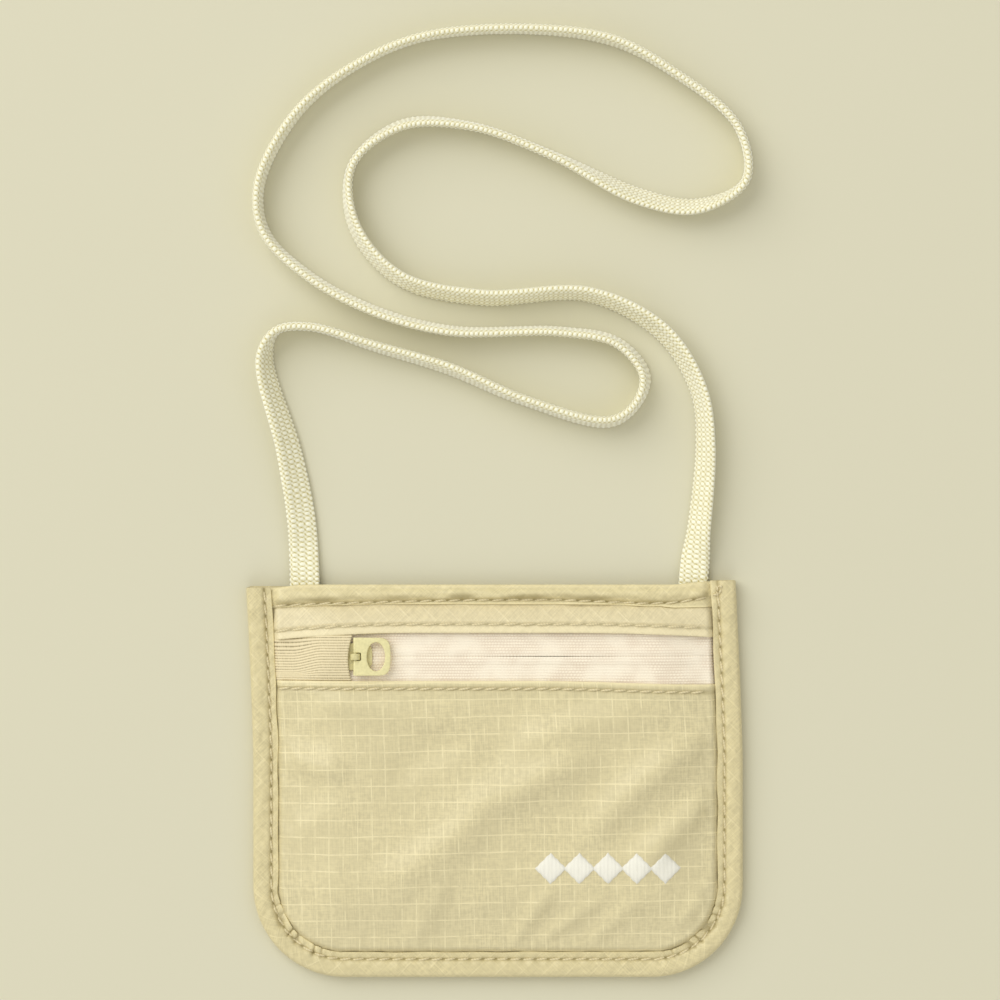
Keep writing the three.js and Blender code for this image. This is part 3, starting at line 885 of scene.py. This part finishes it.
def add_top_strip():
    u = np.linspace(-1, 1, 230)[None, :] * (HALF - PANEL_MARGIN)
    y = mix(TOP - STRIP_ENDS, window_high(u) + FOLD, np.linspace(0, 1, 60)[:, None])
    x = u + 0 * y
    out, up = hem_offsets(FOLD, 9, STRIP_HEM, 8)
    x, y, z = with_hem((x, 0 * out), (y, -out), (strip_z(x, y), up))
    coords = np.stack([x, y], axis=-1)
    above_fold = y - window_high(x)
    # Painted shadow just under the band's lower edge, painted shade under the binding and in the furrow of
    # the row, and a painted highlight along the fold.
    band_shadow = 1 - 0.3 * hump(np.minimum(y - band_low(x), 0), 0.4)
    shade = tuck_shade(x, y) * band_shadow * fold_highlight(0.7 - above_fold, 1.0, 0.5)
    shade = shade * seam_shade(STRIP_ROW - above_fold, 0.72, 0.42, needle_holes(x + ROW_REACH, STRIP_PITCH))
    strip = cloth("top_strip_cloth", place(x, y, z), CLOTH, coords, shade)
    material = ripstop("strip ripstop", STRIP_COLOUR, math.pi / 4, 0.32)
    wear(strip, material, "ripstop", "top_strip")


# ---- Binding ----

# How far in from the pouch's edge the row of stitches is, and where along the edge it starts.
STITCH_LINE = 4.55
BINDING_ROW_START = 1.2
BINDING_NOSE = 1.15
BINDING_BACK_Z = 0.17
CORNER_ARC = math.pi / 2 * CORNER
SIDE_RUN = TOP - BOTTOM - CORNER
BOTTOM_RUN = 2 * (HALF - CORNER)
BINDING_RUN = 2 * SIDE_RUN + 2 * CORNER_ARC + BOTTOM_RUN
# The left end is cut a little short of the top edge, and the right one stands past it.
BINDING_STARTS = 0.7
BINDING_ENDS = BINDING_RUN + 1.1


def binding_frame(s):
    """Points down the left edge, round the bottom and up the right, and their inward headings."""
    s = np.asarray(s, float)
    mirrored = s > BINDING_RUN / 2
    run = np.where(mirrored, BINDING_RUN - s, s)
    turn = np.clip((run - SIDE_RUN) / CORNER, 0, math.pi / 2)
    level = np.maximum(run - SIDE_RUN - CORNER_ARC, 0)
    down = np.minimum(run, SIDE_RUN)
    x = -HALF + CORNER * (1 - np.cos(turn)) + level
    y = TOP - down - CORNER * np.sin(turn)
    inward_x, inward_y = np.cos(turn), np.sin(turn)
    flip = np.where(mirrored, -1, 1)
    return x * flip, y, inward_x * flip, inward_y


def along_stitches(s):
    """Distance along the binding's row of stitches, which is shorter than the edge at the corners."""
    inner_arc = math.pi / 2 * (CORNER - STITCH_LINE)
    edge_runs = np.cumsum([0, SIDE_RUN, CORNER_ARC, BOTTOM_RUN, CORNER_ARC, SIDE_RUN])
    row_runs = np.cumsum([0, SIDE_RUN, inner_arc, BOTTOM_RUN, inner_arc, SIDE_RUN])
    return np.interp(s, edge_runs, row_runs)


def corner_pleats(s, d):
    """0 to 1 in the short creases of the inner lip, where the tape is eased round a corner."""
    near = np.zeros_like(s + d)
    for corner in (SIDE_RUN + CORNER_ARC / 2, BINDING_RUN - SIDE_RUN - CORNER_ARC / 2):
        near = near + hump(s - corner, 14)
    lip = smooth((d - STITCH_LINE + 1.4) / 1.2)
    wander = 0.9 * np.sin(s * 0.61) + 0.25 * (d - STITCH_LINE)
    return near * lip * np.abs(np.cos(math.pi * s / 4.6 + wander)) ** 10


def wrapped_heights(top, sizes, bend, round_edge, back_z, gap=0.0):
    """Heights across a folded tape, given its upper face: hem, fold, face, round edge and back."""
    hem_end, bend_end, face_end, round_end = np.cumsum(sizes)
    z = top.copy()
    z[:, :hem_end] -= 2 * FOLD + gap
    z[:, hem_end:bend_end] += FOLD * (np.sin(bend) - 1)
    crest = top[:, face_end - 1:face_end]
    z[:, face_end:round_end] = (crest + back_z) / 2 + (crest - back_z) / 2 * np.sin(round_edge)
    z[:, round_end:] = back_z
    return z


def tape_map(points, along):
    """A map whose first way runs along a folded tape, and the second across it and round it."""
    steps = np.linalg.norm(np.diff(points, axis=1, prepend=points[:, :1]), axis=2)
    across = np.cumsum(steps, axis=1).mean(axis=0)[None, :]
    return np.stack(np.broadcast_arrays(along, across), axis=-1)


def binding_top(s, d):
    """Height of the binding's upper face, d inwards from the pouch's outer edge."""
    x, y, inward_x, inward_y = binding_frame(s)
    under_here = layer_z(FRONT_Z, x + inward_x * d, y + inward_y * d)
    seat = under_here + 0.72 + 0.75 * top_seam(y)
    swell = 0.62 * np.sin(math.pi * np.clip(d / STITCH_LINE, 0, 1)) ** 0.6
    groove = -0.3 * hump(d - STITCH_LINE, 0.5)
    gathered = 0.16 * np.sin(2 * math.pi * s / 3.45) * hump(d - STITCH_LINE, 1.3)
    uneven = 0.12 * ripples(s, d * 2.5, 31, 9) + 0.05 * ripples(s, d * 2, 32, 3.5)
    return seat + swell + groove + uneven * smooth(d / 2) + gathered - 0.6 * corner_pleats(s, d)


def add_binding():
    s = np.linspace(BINDING_STARTS, BINDING_ENDS, 820)[:, None]
    nose = BINDING_NOSE
    lip = BINDING_FACE - FOLD
    hem = np.linspace(STITCH_LINE - 0.5, lip, 6)[:-1]
    bend = np.linspace(-math.pi / 2, math.pi / 2, 8)
    face = np.linspace(lip, nose, 30)[1:]
    round_edge = np.linspace(math.pi / 2, 1.5 * math.pi, 12)[1:]
    back = np.linspace(nose, BINDING_FACE - 0.3, 12)[1:]
    # Distances in from the outer edge, walked from the hem over the face and round to the back.
    rounded = nose + nose * np.cos(round_edge)
    d = np.concatenate([hem, lip + FOLD * np.cos(bend), face, rounded, back])[None, :]
    wander = 0.13 * ripples(s, 0 * s, 33, 16)
    d_in = d + (wander - 0.4 * corner_pleats(s, d)) * smooth((d - 3) / 3)
    top = binding_top(s, np.maximum(d_in, nose))
    sizes = (len(hem), len(bend), len(face), len(round_edge))
    z = wrapped_heights(top, sizes, bend, round_edge, BINDING_BACK_Z, 0.02)
    x, y, inward_x, inward_y = binding_frame(s)
    points = place(x + inward_x * d_in, y + inward_y * d_in, z)
    coords = tape_map(points, s)
    # Only the upper face shows the seam and the pleats: the painted shade of their furrows, and a painted
    # highlight along the lip's fold.
    on_top = smooth(z - 1.2)
    holes = needle_holes(along_stitches(s) - BINDING_ROW_START, BINDING_PITCH)
    furrow = 1 - on_top * (1 - seam_shade(d_in - STITCH_LINE, 0.85, 0.42, holes))
    pleats = 1 - on_top * 0.6 * corner_pleats(s, d_in)
    shade = furrow * pleats * fold_highlight(d_in - BINDING_FACE, 0.5, 0.5 * on_top)
    binding = cloth("binding_tape", points[:, ::-1], CLOTH, coords[:, ::-1], shade[:, ::-1])
    material = ripstop("binding ripstop", BINDING_COLOUR, math.pi / 4, 0.36)
    wear(binding, material, "binding_tape", "edge_binding")


# ---- Top band ----

# Points x and y of the band's row of stitches, and x and how far its lower edge hangs below them.
BAND_SEAM = [(-56, 44.2), (-42, 44.85), (-7, 45.75), (16, 45.8), (39, 44.9), (46, 45.1), (54, 46.3)]
BAND_LIP = [(-56, 0.45), (-28, 0.5), (-5, 1.05), (16, 1.1), (30, 0.65), (42, 0.75), (54, 2.3)]
BAND_NOSE = 0.9
BAND_HEM = 1.6
# The height of its back face, pinched under the binding and free inside it.
BAND_BACK_Z = (1.35, 2.62)


def band_seam(x):
    return np.interp(x, *zip(*BAND_SEAM))


def band_low(x):
    """The top band's lower edge."""
    return band_seam(x) - np.interp(x, *zip(*BAND_LIP))


def band_top(x, y):
    """Height of the band's upper face: swelling, gathered at its stitches, tucked in at its ends."""
    above_row = y - band_seam(x)
    share = np.clip(2 * above_row / (TOP - BAND_NOSE - band_seam(x)) - 1, -1, 1)
    swell = 0.95 * (1 - share**2)
    gathered = 0.07 + 0.14 * hump(above_row - 0.9, 0.9)
    uneven = 0.13 * ripples(x, y * 2, 41, 10) + gathered * ripples(x, y * 1.4, 42, 4.5)
    groove = -0.3 * hump(above_row, 0.5)
    return strip_z(x, y) + 0.5 + (swell + uneven + groove) * mix(0.25, 1, smooth(inset(x, y) / 3))


def add_top_band():
    reach = HALF - TAPE_MARGIN
    x = np.linspace(-reach, reach, 330)[:, None]
    lip = band_low(x) + FOLD
    # The top edge dips at the left end and rises at the right one.
    top_edge = TOP - 0.8 * smooth((-x - INNER + 9) / 9) + 0.8 * smooth((x - INNER + 10) / 9)
    crest_y = top_edge - BAND_NOSE
    hem = np.linspace(BAND_HEM, 0, 5)[:-1]
    bend = np.linspace(-math.pi / 2, math.pi / 2, 8)
    face = np.linspace(0, 1, 24)[1:]
    round_edge = np.linspace(math.pi / 2, -math.pi / 2, 10)[1:]
    back = np.linspace(0, TOP - BAND_NOSE - BAND_EDGE - 0.4, 10)[1:]
    # Places in y, walked from the hem over the face and round the top edge to the back.
    y = np.concatenate([lip + hem, lip - FOLD * np.cos(bend), mix(lip, crest_y, face),
                        crest_y + BAND_NOSE * np.cos(round_edge), crest_y - back], axis=1)
    wide = x + 0 * y
    top = band_top(wide, np.minimum(y, crest_y))
    back_z = mix(*BAND_BACK_Z, smooth(inset(x, TOP + 0 * x) / 2.4))
    sizes = (len(hem), len(bend), len(face), len(round_edge))
    z = wrapped_heights(top, sizes, bend, round_edge, back_z)
    points = place(wide, y, z)
    above_row = y - band_seam(x)
    # Painted shade in the crumpled creases just above the row of stitches.
    crease_shade = np.clip(0.26 + 0.32 * ripples(wide, y * 3, 43, 11), 0, 0.62) * hump(above_row - 0.9, 0.8)
    shade = seam_shade(above_row, 0.9, 0.45, needle_holes(wide + ROW_REACH, BAND_PITCH)) * (1 - crease_shade)
    # Painted highlights along the lower fold and the rounded top edge.
    shade = shade * fold_highlight(y - band_low(x), 0.4, 0.7) * fold_highlight(y - top_edge, 0.8, 0.5)
    # Only the upper face shows the seam: its painted shade, the creases' painted shade and the painted
    # highlights.
    shade = mix(1, shade, smooth((z - 3.4) / 0.6))
    band = cloth("top_band_tape", points, CLOTH, tape_map(points, x), shade)
    material = ripstop("band ripstop", BAND_COLOUR, math.pi / 4, 0.32)
    wear(band, material, "binding_tape", "top_band")


# ---- Zip ----

TAPE_WIDTH = 7.6
# The knit's rows across the tape, and its loops along it.
TAPE_ROW = 0.72
TAPE_LOOP = 0.74
# A coil's wire: its turns, its radius, and how far each turn reaches across and up.
COIL_PITCH = 0.9
COIL_WIRE = 0.15
COIL_REACH = (0.72, 0.3)


def zip_parting(x):
    """Half the gap between the tapes, which opens a little in one place."""
    return 0.04 + 0.1 * hump(x - 13, 13)


def tape_z(x, v):
    """Height of the tape at a distance from the zip's middle."""
    coil = 0.28 * smooth((2.6 - v) / 1.4) * smooth(inset(x, ZIP_Y + 0 * x) / RISE)
    lip = -0.14 * smooth((0.55 - v) / 0.4)
    return bulging_z(TAPE_Z, TAPE_STEP, x, ZIP_Y + 0 * x) + coil + lip


def add_tape(side, name, node):
    """A knitted tape on one side of the zip, whose rows of loops stand in its surface."""
    reach = HALF - TAPE_MARGIN
    x = np.linspace(-reach, reach, 560)[:, None]
    share = np.linspace(0, 1, 48)[None, :]
    v = mix(zip_parting(x), TAPE_WIDTH, share)
    wide = x + 0 * v
    slip = 0.4 * ripples(wide, v * 3, 53, 9)
    loops = 0.5 + 0.5 * np.cos(2 * math.pi * (wide / TAPE_LOOP + np.floor(v / TAPE_ROW) * 0.5 + slip))
    rows = 0.5 - 0.5 * np.cos(2 * math.pi * v / TAPE_ROW)
    relief = rows * (0.35 + 0.65 * loops) * (0.9 + 0.16 * ripples(wide, v, 52, 2.4, 2.5))
    z = tape_z(wide, v) + 0.12 * (relief - 0.5) + 0.05 * ripples(wide, v, 51, 12, 3)
    y = ZIP_Y + side * v
    # Painted shadow: the map falls to 0 at the window's edges, where the folds overhang the tape.
    window = smooth((y - window_low(x) + 0.1) / 0.5) * smooth((window_high(x) + 0.1 - y) / 0.5)
    grids = (place(wide, y, z), np.stack([wide, v * side], axis=-1), relief * window)
    points, coords, relief = (grid[:, ::side] for grid in grids)
    tape = cloth(name, points, TAPE_CLOTH, coords, relief)
    wear(tape, knitted_tape(name + " knit", srgb(254, 243, 220)), "zip_tape", node)


THREAD_SIDES = 8


def sweep(line, radius):
    """Points, faces and map of a round thread along a line, of one radius or one for each point."""
    heading = unit(np.gradient(line, axis=0))
    side = unit(np.cross(heading, [0, 0, 1.0]))
    up = np.cross(side, heading)
    turn = np.linspace(0, 2 * math.pi, THREAD_SIDES, endpoint=False)
    ring = side[:, None] * np.cos(turn)[None, :, None] + up[:, None] * np.sin(turn)[None, :, None]
    points = line[:, None] + ring * np.reshape(radius, (-1, 1, 1))
    coords = np.stack(np.broadcast_arrays(distances(line)[:, None], turn / (2 * math.pi)), axis=-1)
    return points.reshape(-1, 3), tube_faces(len(line), THREAD_SIDES), coords.reshape(-1, 2)


def add_coil(side, name, node):
    """Woven coil teeth: one wire wound along the tape's edge, locking with the other side."""
    low, high = node_box(node)
    length = high[0] - low[0]
    turns = int(length / COIL_PITCH)
    t = np.linspace(0, turns, turns * 14 + 1)
    angle = 2 * math.pi * t + (math.pi if side < 0 else 0)
    middle = (low + high) / 2
    x = low[0] + t / turns * length + lean(ZIP_Y)
    y = middle[1] - side * 0.16 + COIL_REACH[0] * np.cos(angle)
    z = middle[2] + COIL_REACH[1] * np.sin(angle)
    coil = make_mesh(name, *sweep(np.stack([x, y, z], axis=1), COIL_WIRE), sharp=80)
    wear(coil, moulded_coil(name + " nylon", srgb(234, 222, 192)), "zip_coil", node)


# ---- Ribbon over the parked slider ----

RIBS = 17
RIBBON_HALF = 5.75
RIBBON_FOLD = 0.25
RIBBON_HEM = 3.4
# How much of the ribbon goes on under the strip above the zip.
RIBBON_TUCKED = 0.7


def ribbon_end(v):
    """The ribbon's folded right edge, which slants and curves."""
    return -36.75 + 0.09 * v + 0.028 * v**2


def ribbon_top(x, v):
    """Height of the ribbon, v from the zip's middle: tucked under both edges, arched between."""
    tucked = bulging_z((FRONT_Z[0] - 0.2, FRONT_Z[1] - 0.35), RIBBON_STEP, x, ZIP_Y + 0 * x)
    hood = smooth((x + 51) / 9)
    arch = np.sqrt(np.clip(1 - (v / 5.95) ** 2, 0, 1))
    wave = 0.12 * ripples(x, v, 71, 9) * smooth((5.2 - np.abs(v)) / 2)
    return tucked + mix(0.45, 1.65, hood) * arch + wave


def add_ribbon():
    v = np.linspace(-RIBBON_HALF - RIBBON_TUCKED, RIBBON_HALF, 186)[None, :]
    x = mix(-HALF + TAPE_MARGIN, ribbon_end(v) - RIBBON_FOLD, np.linspace(0, 1, 110)[:, None])
    rib = np.abs(np.cos(math.pi * RIBS * (v + RIBBON_HALF) / (2 * RIBBON_HALF)))
    z = ribbon_top(x, v) + 0.22 * (rib - 0.5)
    droop = -1.35 * smooth((-43 - x) / 8) * smooth((RIBBON_HALF - np.abs(v)) / 3.5)
    out, up = hem_offsets(RIBBON_FOLD, 10, RIBBON_HEM, 10)
    x, y, z = with_hem((x, out), (ZIP_Y + v + droop, 0 * out), (z, up))
    coords = np.stack(np.broadcast_arrays(x, v), axis=-1)
    # The ribs' map also sets the painted shade between the cords.
    ribbon = cloth("garage_ribbon", place(x, y, z), TAPE_CLOTH, coords, rib + 0 * x, sharp=70)
    wear(ribbon, ribbed_ribbon("grosgrain", srgb(232, 218, 178)), "grosgrain", "zip_garage_ribbon")


# ---- Slider and pull tab ----


def mesh_points(mesh):
    """A mesh's points in metres, one in each row."""
    points = np.zeros(len(mesh.vertices) * 3)
    mesh.vertices.foreach_get("co", points)
    return points.reshape(-1, 3)


def evaluated_mesh(thing):
    """The mesh that an object's curve settings or modifiers make."""
    ready = thing.evaluated_get(bpy.context.evaluated_depsgraph_get())
    return bpy.data.meshes.new_from_object(ready)


def bevelled_plate(name, outline, low, high, bevel, holes=()):
    """A plate with rounded rims, cut to an outline with holes, between two heights in millimetres."""
    curve = bpy.data.curves.new(name, "CURVE")
    curve.dimensions = "2D"
    curve.fill_mode = "BOTH"
    curve.extrude = ((high - low) / 2 - bevel) * MM
    curve.bevel_depth = bevel * MM
    curve.offset = -bevel * MM
    curve.bevel_resolution = 3
    for ring in (outline, *holes):
        spline = curve.splines.new("POLY")
        spline.points.add(len(ring) - 1)
        for point, (x, y) in zip(spline.points, ring):
            point.co = (x * MM, y * MM, 0, 1)
        spline.use_cyclic_u = True
    holder = add_object(name, curve)
    mesh = evaluated_mesh(holder)
    bpy.data.objects.remove(holder)
    bpy.data.curves.remove(curve)
    points = mesh_points(mesh) + (0, 0, (low + high) / 2 * MM)
    mesh.vertices.foreach_set("co", points.ravel())
    return add_object(name, mesh)


def upright_plate(name, outline, low, high, bevel):
    """A plate whose outline is given in x and z, standing between two places in y."""
    thing = bevelled_plate(name, outline, low, high, bevel)
    x, y, z = mesh_points(thing.data).T
    thing.data.vertices.foreach_set("co", np.stack([x, z, y], axis=1).ravel())
    thing.data.flip_normals()
    return thing


def fuse(name, first, *others):
    """Joins closed solids into one by booleans, and shades it smooth."""
    for other in others:
        union = first.modifiers.new("union", "BOOLEAN")
        union.operation = "UNION"
        union.solver = "EXACT"
        union.object = other
        mesh = evaluated_mesh(first)
        first.modifiers.clear()
        first.data = mesh
    for other in others:
        bpy.data.objects.remove(other)
    first.name = name
    first.data.name = name
    first.data.shade_smooth()
    first.data.set_sharp_from_angle(angle=math.radians(38))
    return first


def rounded_outline(corners):
    """An outline through corners given as x, y and the radius that rounds each."""
    ring = []
    for k, (x, y, radius) in enumerate(corners):
        here = np.array([x, y])
        before, after = (np.array(corners[j % len(corners)][:2]) for j in (k - 1, k + 1))
        first = here + unit(before - here) * radius
        last = here + unit(after - here) * radius
        for t in np.linspace(0, 1, 7):
            ring.append(tuple((1 - t) ** 2 * first + 2 * t * (1 - t) * here + t**2 * last))
    return ring


def ellipse(x, y, rx, ry, count):
    turn = np.linspace(0, 2 * math.pi, count, endpoint=False)
    return [(x + rx * math.cos(a), y + ry * math.sin(a)) for a in turn]


def rectangle(x0, x1, y0, y1):
    return [(x0, y0), (x1, y0), (x1, y1), (x0, y1)]


# The hinge's axis, and the tab and the loop of the slider round it.
PIN_X = TAB_LOW[0] + 0.5
PIN_Z = (TAB_LOW[2] + TAB_HIGH[2]) / 2
PIN_RADIUS = 0.4
TAB_SLOT = 0.98
TAB_HOLE = (2.3, 3.65)
LOOP_INNER, LOOP_OUTER = 0.66, 1.24
LOOP_HALF = 0.78
# The slider's two plates, wide at the left end and narrow at the right one.
PLATE_THICK = 0.5
PLATE_WIDE, PLATE_NARROW = 3.75, 2.85
RAIL_TOP = 5.2


def cross_bar(name, radius, low, high):
    """A round bar about the hinge's axis, between two places in y."""
    return upright_plate(name, ellipse(PIN_X, PIN_Z, radius, radius, 28), low, high, 0.12)


def add_pull_tab():
    half = (TAB_HIGH[1] - TAB_LOW[1]) / 2
    end = TAB_HIGH[0]
    slot, slot_end = TAB_SLOT, PIN_X + 1.45
    corners = [
        (PIN_X, ZIP_Y - half, 0.6), (end - 0.25, ZIP_Y - half + 0.1, 2.4), (end + 0.15, ZIP_Y, 2.0),
        (end - 0.25, ZIP_Y + half - 0.1, 2.4), (PIN_X, ZIP_Y + half, 0.6), (PIN_X, ZIP_Y + slot, 0.25),
        (slot_end, ZIP_Y + slot, 0.3), (slot_end, ZIP_Y - slot, 0.3), (PIN_X, ZIP_Y - slot, 0.25),
    ]
    hole = ellipse(PIN_X + 5.2, ZIP_Y, *TAB_HOLE, 40)
    plate = bevelled_plate("tab_plate", rounded_outline(corners), TAB_LOW[2], TAB_HIGH[2], 0.2, [hole])
    round_end = (TAB_HIGH[2] - TAB_LOW[2]) / 2
    arms = [cross_bar("tab_arm", round_end, ZIP_Y + low, ZIP_Y + high)
            for low, high in ((0.05 - half, -slot), (slot, half - 0.05))]
    pin = cross_bar("tab_pin", PIN_RADIUS, ZIP_Y - 2, ZIP_Y + 2)
    tab = fuse("pull_tab_cast", plate, *arms, pin)
    wear(tab, painted_metal("tab paint", srgb(232, 223, 166)), "painted_hardware", "pull_tab", body="tab")


def loop_outline(foot):
    """The slider's loop over the hinge's pin, seen from the side, down to a height."""
    turn = np.linspace(0, math.pi, 22)
    outer, inner = ([(side * radius * math.cos(a), radius * math.sin(a)) for a in turn]
                    for side, radius in ((1, LOOP_OUTER), (-1, LOOP_INNER)))
    drop = foot - PIN_Z
    ring = [(LOOP_OUTER, drop), *outer, (-LOOP_OUTER, drop),
            (-LOOP_INNER, drop), *inner, (LOOP_INNER, drop)]
    return [(PIN_X + x, PIN_Z + z) for x, z in ring]


def add_slider():
    """Two plates joined by a post, with flanges that hold the coils and a loop for the pull tab."""
    left, right = SLIDER_LOW[0], SLIDER_HIGH[0]
    outline = rounded_outline([
        (left, ZIP_Y - PLATE_WIDE, 1.2), (right, ZIP_Y - PLATE_NARROW, 1.6),
        (right, ZIP_Y + PLATE_NARROW, 1.6), (left, ZIP_Y + PLATE_WIDE, 1.2),
    ])
    lower_z, upper_z = SLIDER_LOW[2], PIN_Z - 1.15
    inside = PLATE_THICK / 2
    upper = bevelled_plate("slider_upper", outline, upper_z, upper_z + PLATE_THICK, 0.15)
    lower = bevelled_plate("slider_lower", outline, lower_z, lower_z + PLATE_THICK, 0.15)
    web = rectangle(left + 0.6, left + 3.4, ZIP_Y - 0.07, ZIP_Y + 0.07)
    post = bevelled_plate("slider_post", web, lower_z + inside, upper_z + inside, 0.01)
    rails = [rectangle(left + 3.5, right - 1.7, ZIP_Y + y, ZIP_Y + y + 0.45) for y in (2.3, -2.8)]
    flanges = [bevelled_plate("slider_flange", rail, lower_z + inside, RAIL_TOP, 0.08) for rail in rails]
    loop_low, loop_high = ZIP_Y - LOOP_HALF, ZIP_Y + LOOP_HALF
    loop = upright_plate("slider_bridge", loop_outline(upper_z + 0.2), loop_low, loop_high, 0.1)
    slider = fuse("slider_cast", upper, lower, post, *flanges, loop)
    paint = painted_metal("slider paint", srgb(218, 208, 150))
    wear(slider, paint, "painted_hardware", "zip_slider", body="slider")


# ---- Thread ----

THREAD_RADIUS = 0.3
STITCH_GAP = 0.45


def stitches(route, pitch, gap, seed):
    """Separate closed stitches along a route of surface points, arched and a little slanting."""
    lengths = distances(route[:, :2])
    random = np.random.default_rng(seed)
    share = np.linspace(0, 1, 11)
    arch = np.sin(math.pi * share)
    radii = THREAD_RADIUS * (0.45 + 0.55 * arch**0.5)
    parts = []
    for k in range(int(lengths[-1] / pitch)):
        start = k * pitch + gap / 2 + random.uniform(-0.06, 0.06)
        line = points_along(route, lengths, start + share * (pitch - gap))
        heading = unit(line[-1] - line[0])
        slant = random.uniform(-0.05, 0.05) + 0.19
        line += np.array([-heading[1], heading[0], 0]) * ((share - 0.5) * 2 * slant)[:, None]
        line[:, 2] += 0.2 * (1.45 * arch**0.6 - 0.9)
        parts.append(sweep(line, radii))
    return parts


# Where the thread doubles back at the binding's upper right end: in from the edge, and down.
BACK_TACK = [(6.0, 2.4), (4.6, 2.5), (3.9, 1.4), (3.8, 0.2), (4.7, 0.4), (4.8, 2.6), (4.5, 4.6)]


def binding_route(s, d, lift):
    """Points over the binding, s along it and d in from its edge."""
    x, y, inward_x, inward_y = binding_frame(s)
    return place(x + inward_x * d, y + inward_y * d, binding_top(s, d) + lift)


def back_tack_route():
    """The doubled thread at the upper right end, as points over the binding."""
    turns = range(len(BACK_TACK))
    inwards, down = points_along(np.array(BACK_TACK), turns, np.linspace(0, turns[-1], 80)).T
    return binding_route(BINDING_RUN - down, inwards, 0.2)


def add_seams():
    x = np.linspace(-ROW_REACH, ROW_REACH, 500)
    s = np.linspace(BINDING_ROW_START, BINDING_RUN - 1.2, 1500)

    def row(y, surface, lift, pitch, seed):
        return stitches(place(x, y, surface(x, y) + lift), pitch, STITCH_GAP, seed)

    binding = stitches(binding_route(s, STITCH_LINE + 0 * s, 0.15), BINDING_PITCH, STITCH_GAP, 64)
    rows = {
        "top_band": row(band_seam(x), band_top, 0.2, BAND_PITCH, 61),
        "top_strip": row(window_high(x) + STRIP_ROW, strip_z, 0.24, STRIP_PITCH, 62),
        "zip_lower": row(window_low(x) - ZIP_ROW, front_z, 0.2, ZIP_PITCH, 63),
        "binding": binding + stitches(back_tack_route(), 1.5, 0.2, 65),
    }
    for name, parts in rows.items():
        thread = make_mesh("stitches_" + name, *joined(parts), sharp=80)
        wear(thread, sewing_thread(name + " thread", srgb(226, 212, 168)), "thread", "seam_" + name)


# ---- Embroidery ----

DIAMONDS = 5
DIAMOND_TIP = 3.9
SATIN_THREAD = 0.34


def add_motif():
    """A row of satin-stitched diamonds, each of threads laid side by side."""
    low, high = node_box("embroidered_motif")
    centre_y, half_height = (low[1] + high[1]) / 2, (high[1] - low[1]) / 2
    across = np.linspace(-1, 1, 97)[None, :]
    along = np.linspace(-1, 1, 15)[:, None]
    reach = 1 - np.abs(across) * 0.97
    rounded = np.sqrt(np.clip(1 - along**2, 0, 1)) * np.clip(reach * 2.2, 0, 1) ** 0.5
    ridge = np.abs(np.cos(math.pi * across * DIAMOND_TIP / SATIN_THREAD)) + 0 * along
    # The relief map is also the painted shade of the satin: low between the threads and towards each
    # diamond's rim.
    relief = ridge * np.clip(rounded, 0.2, 1)
    parts = []
    for k, middle in enumerate(np.linspace(low[0] + DIAMOND_TIP, high[0] - DIAMOND_TIP, DIAMONDS)):
        x = middle + across * DIAMOND_TIP + 0 * along
        y = centre_y + along * reach * half_height + 0.12 * np.sin(17 * across + k) * np.abs(along) ** 6
        surface = front_z(x, y) + CLOTH / 2
        top = place(x, y, surface - 0.12 + rounded * (0.52 + 0.12 * (ridge - 0.5)))
        under = place(x, y, surface - 0.14 - 0.1 * rounded)
        points, faces, *maps = closed_sheet(top, under, np.stack([x, y], axis=-1), relief)
        parts.append((points, faces[:, ::-1], *maps))
    motif = make_mesh("satin_diamonds", *joined(parts), sharp=80)
    wear(motif, satin_stitch("satin thread", srgb(255, 252, 236)), "embroidery", "embroidered_motif")


# ---- The whole pouch ----

add_studio()
add_cord()
add_plain_panel("back", "back_panel", TOP - 0.4, back_surface, 1.0)
add_plain_panel("lining", "pocket_lining", TOP - 0.7, lining_surface, 0.9)
add_front_panel()
add_top_strip()
add_binding()
add_top_band()
add_tape(1, "tape_upper", "zip_tape_upper")
add_tape(-1, "tape_lower", "zip_tape_lower")
add_coil(1, "coil_upper", "zip_coil_upper")
add_coil(-1, "coil_lower", "zip_coil_lower")
add_ribbon()
add_slider()
add_pull_tab()
add_seams()
add_motif()
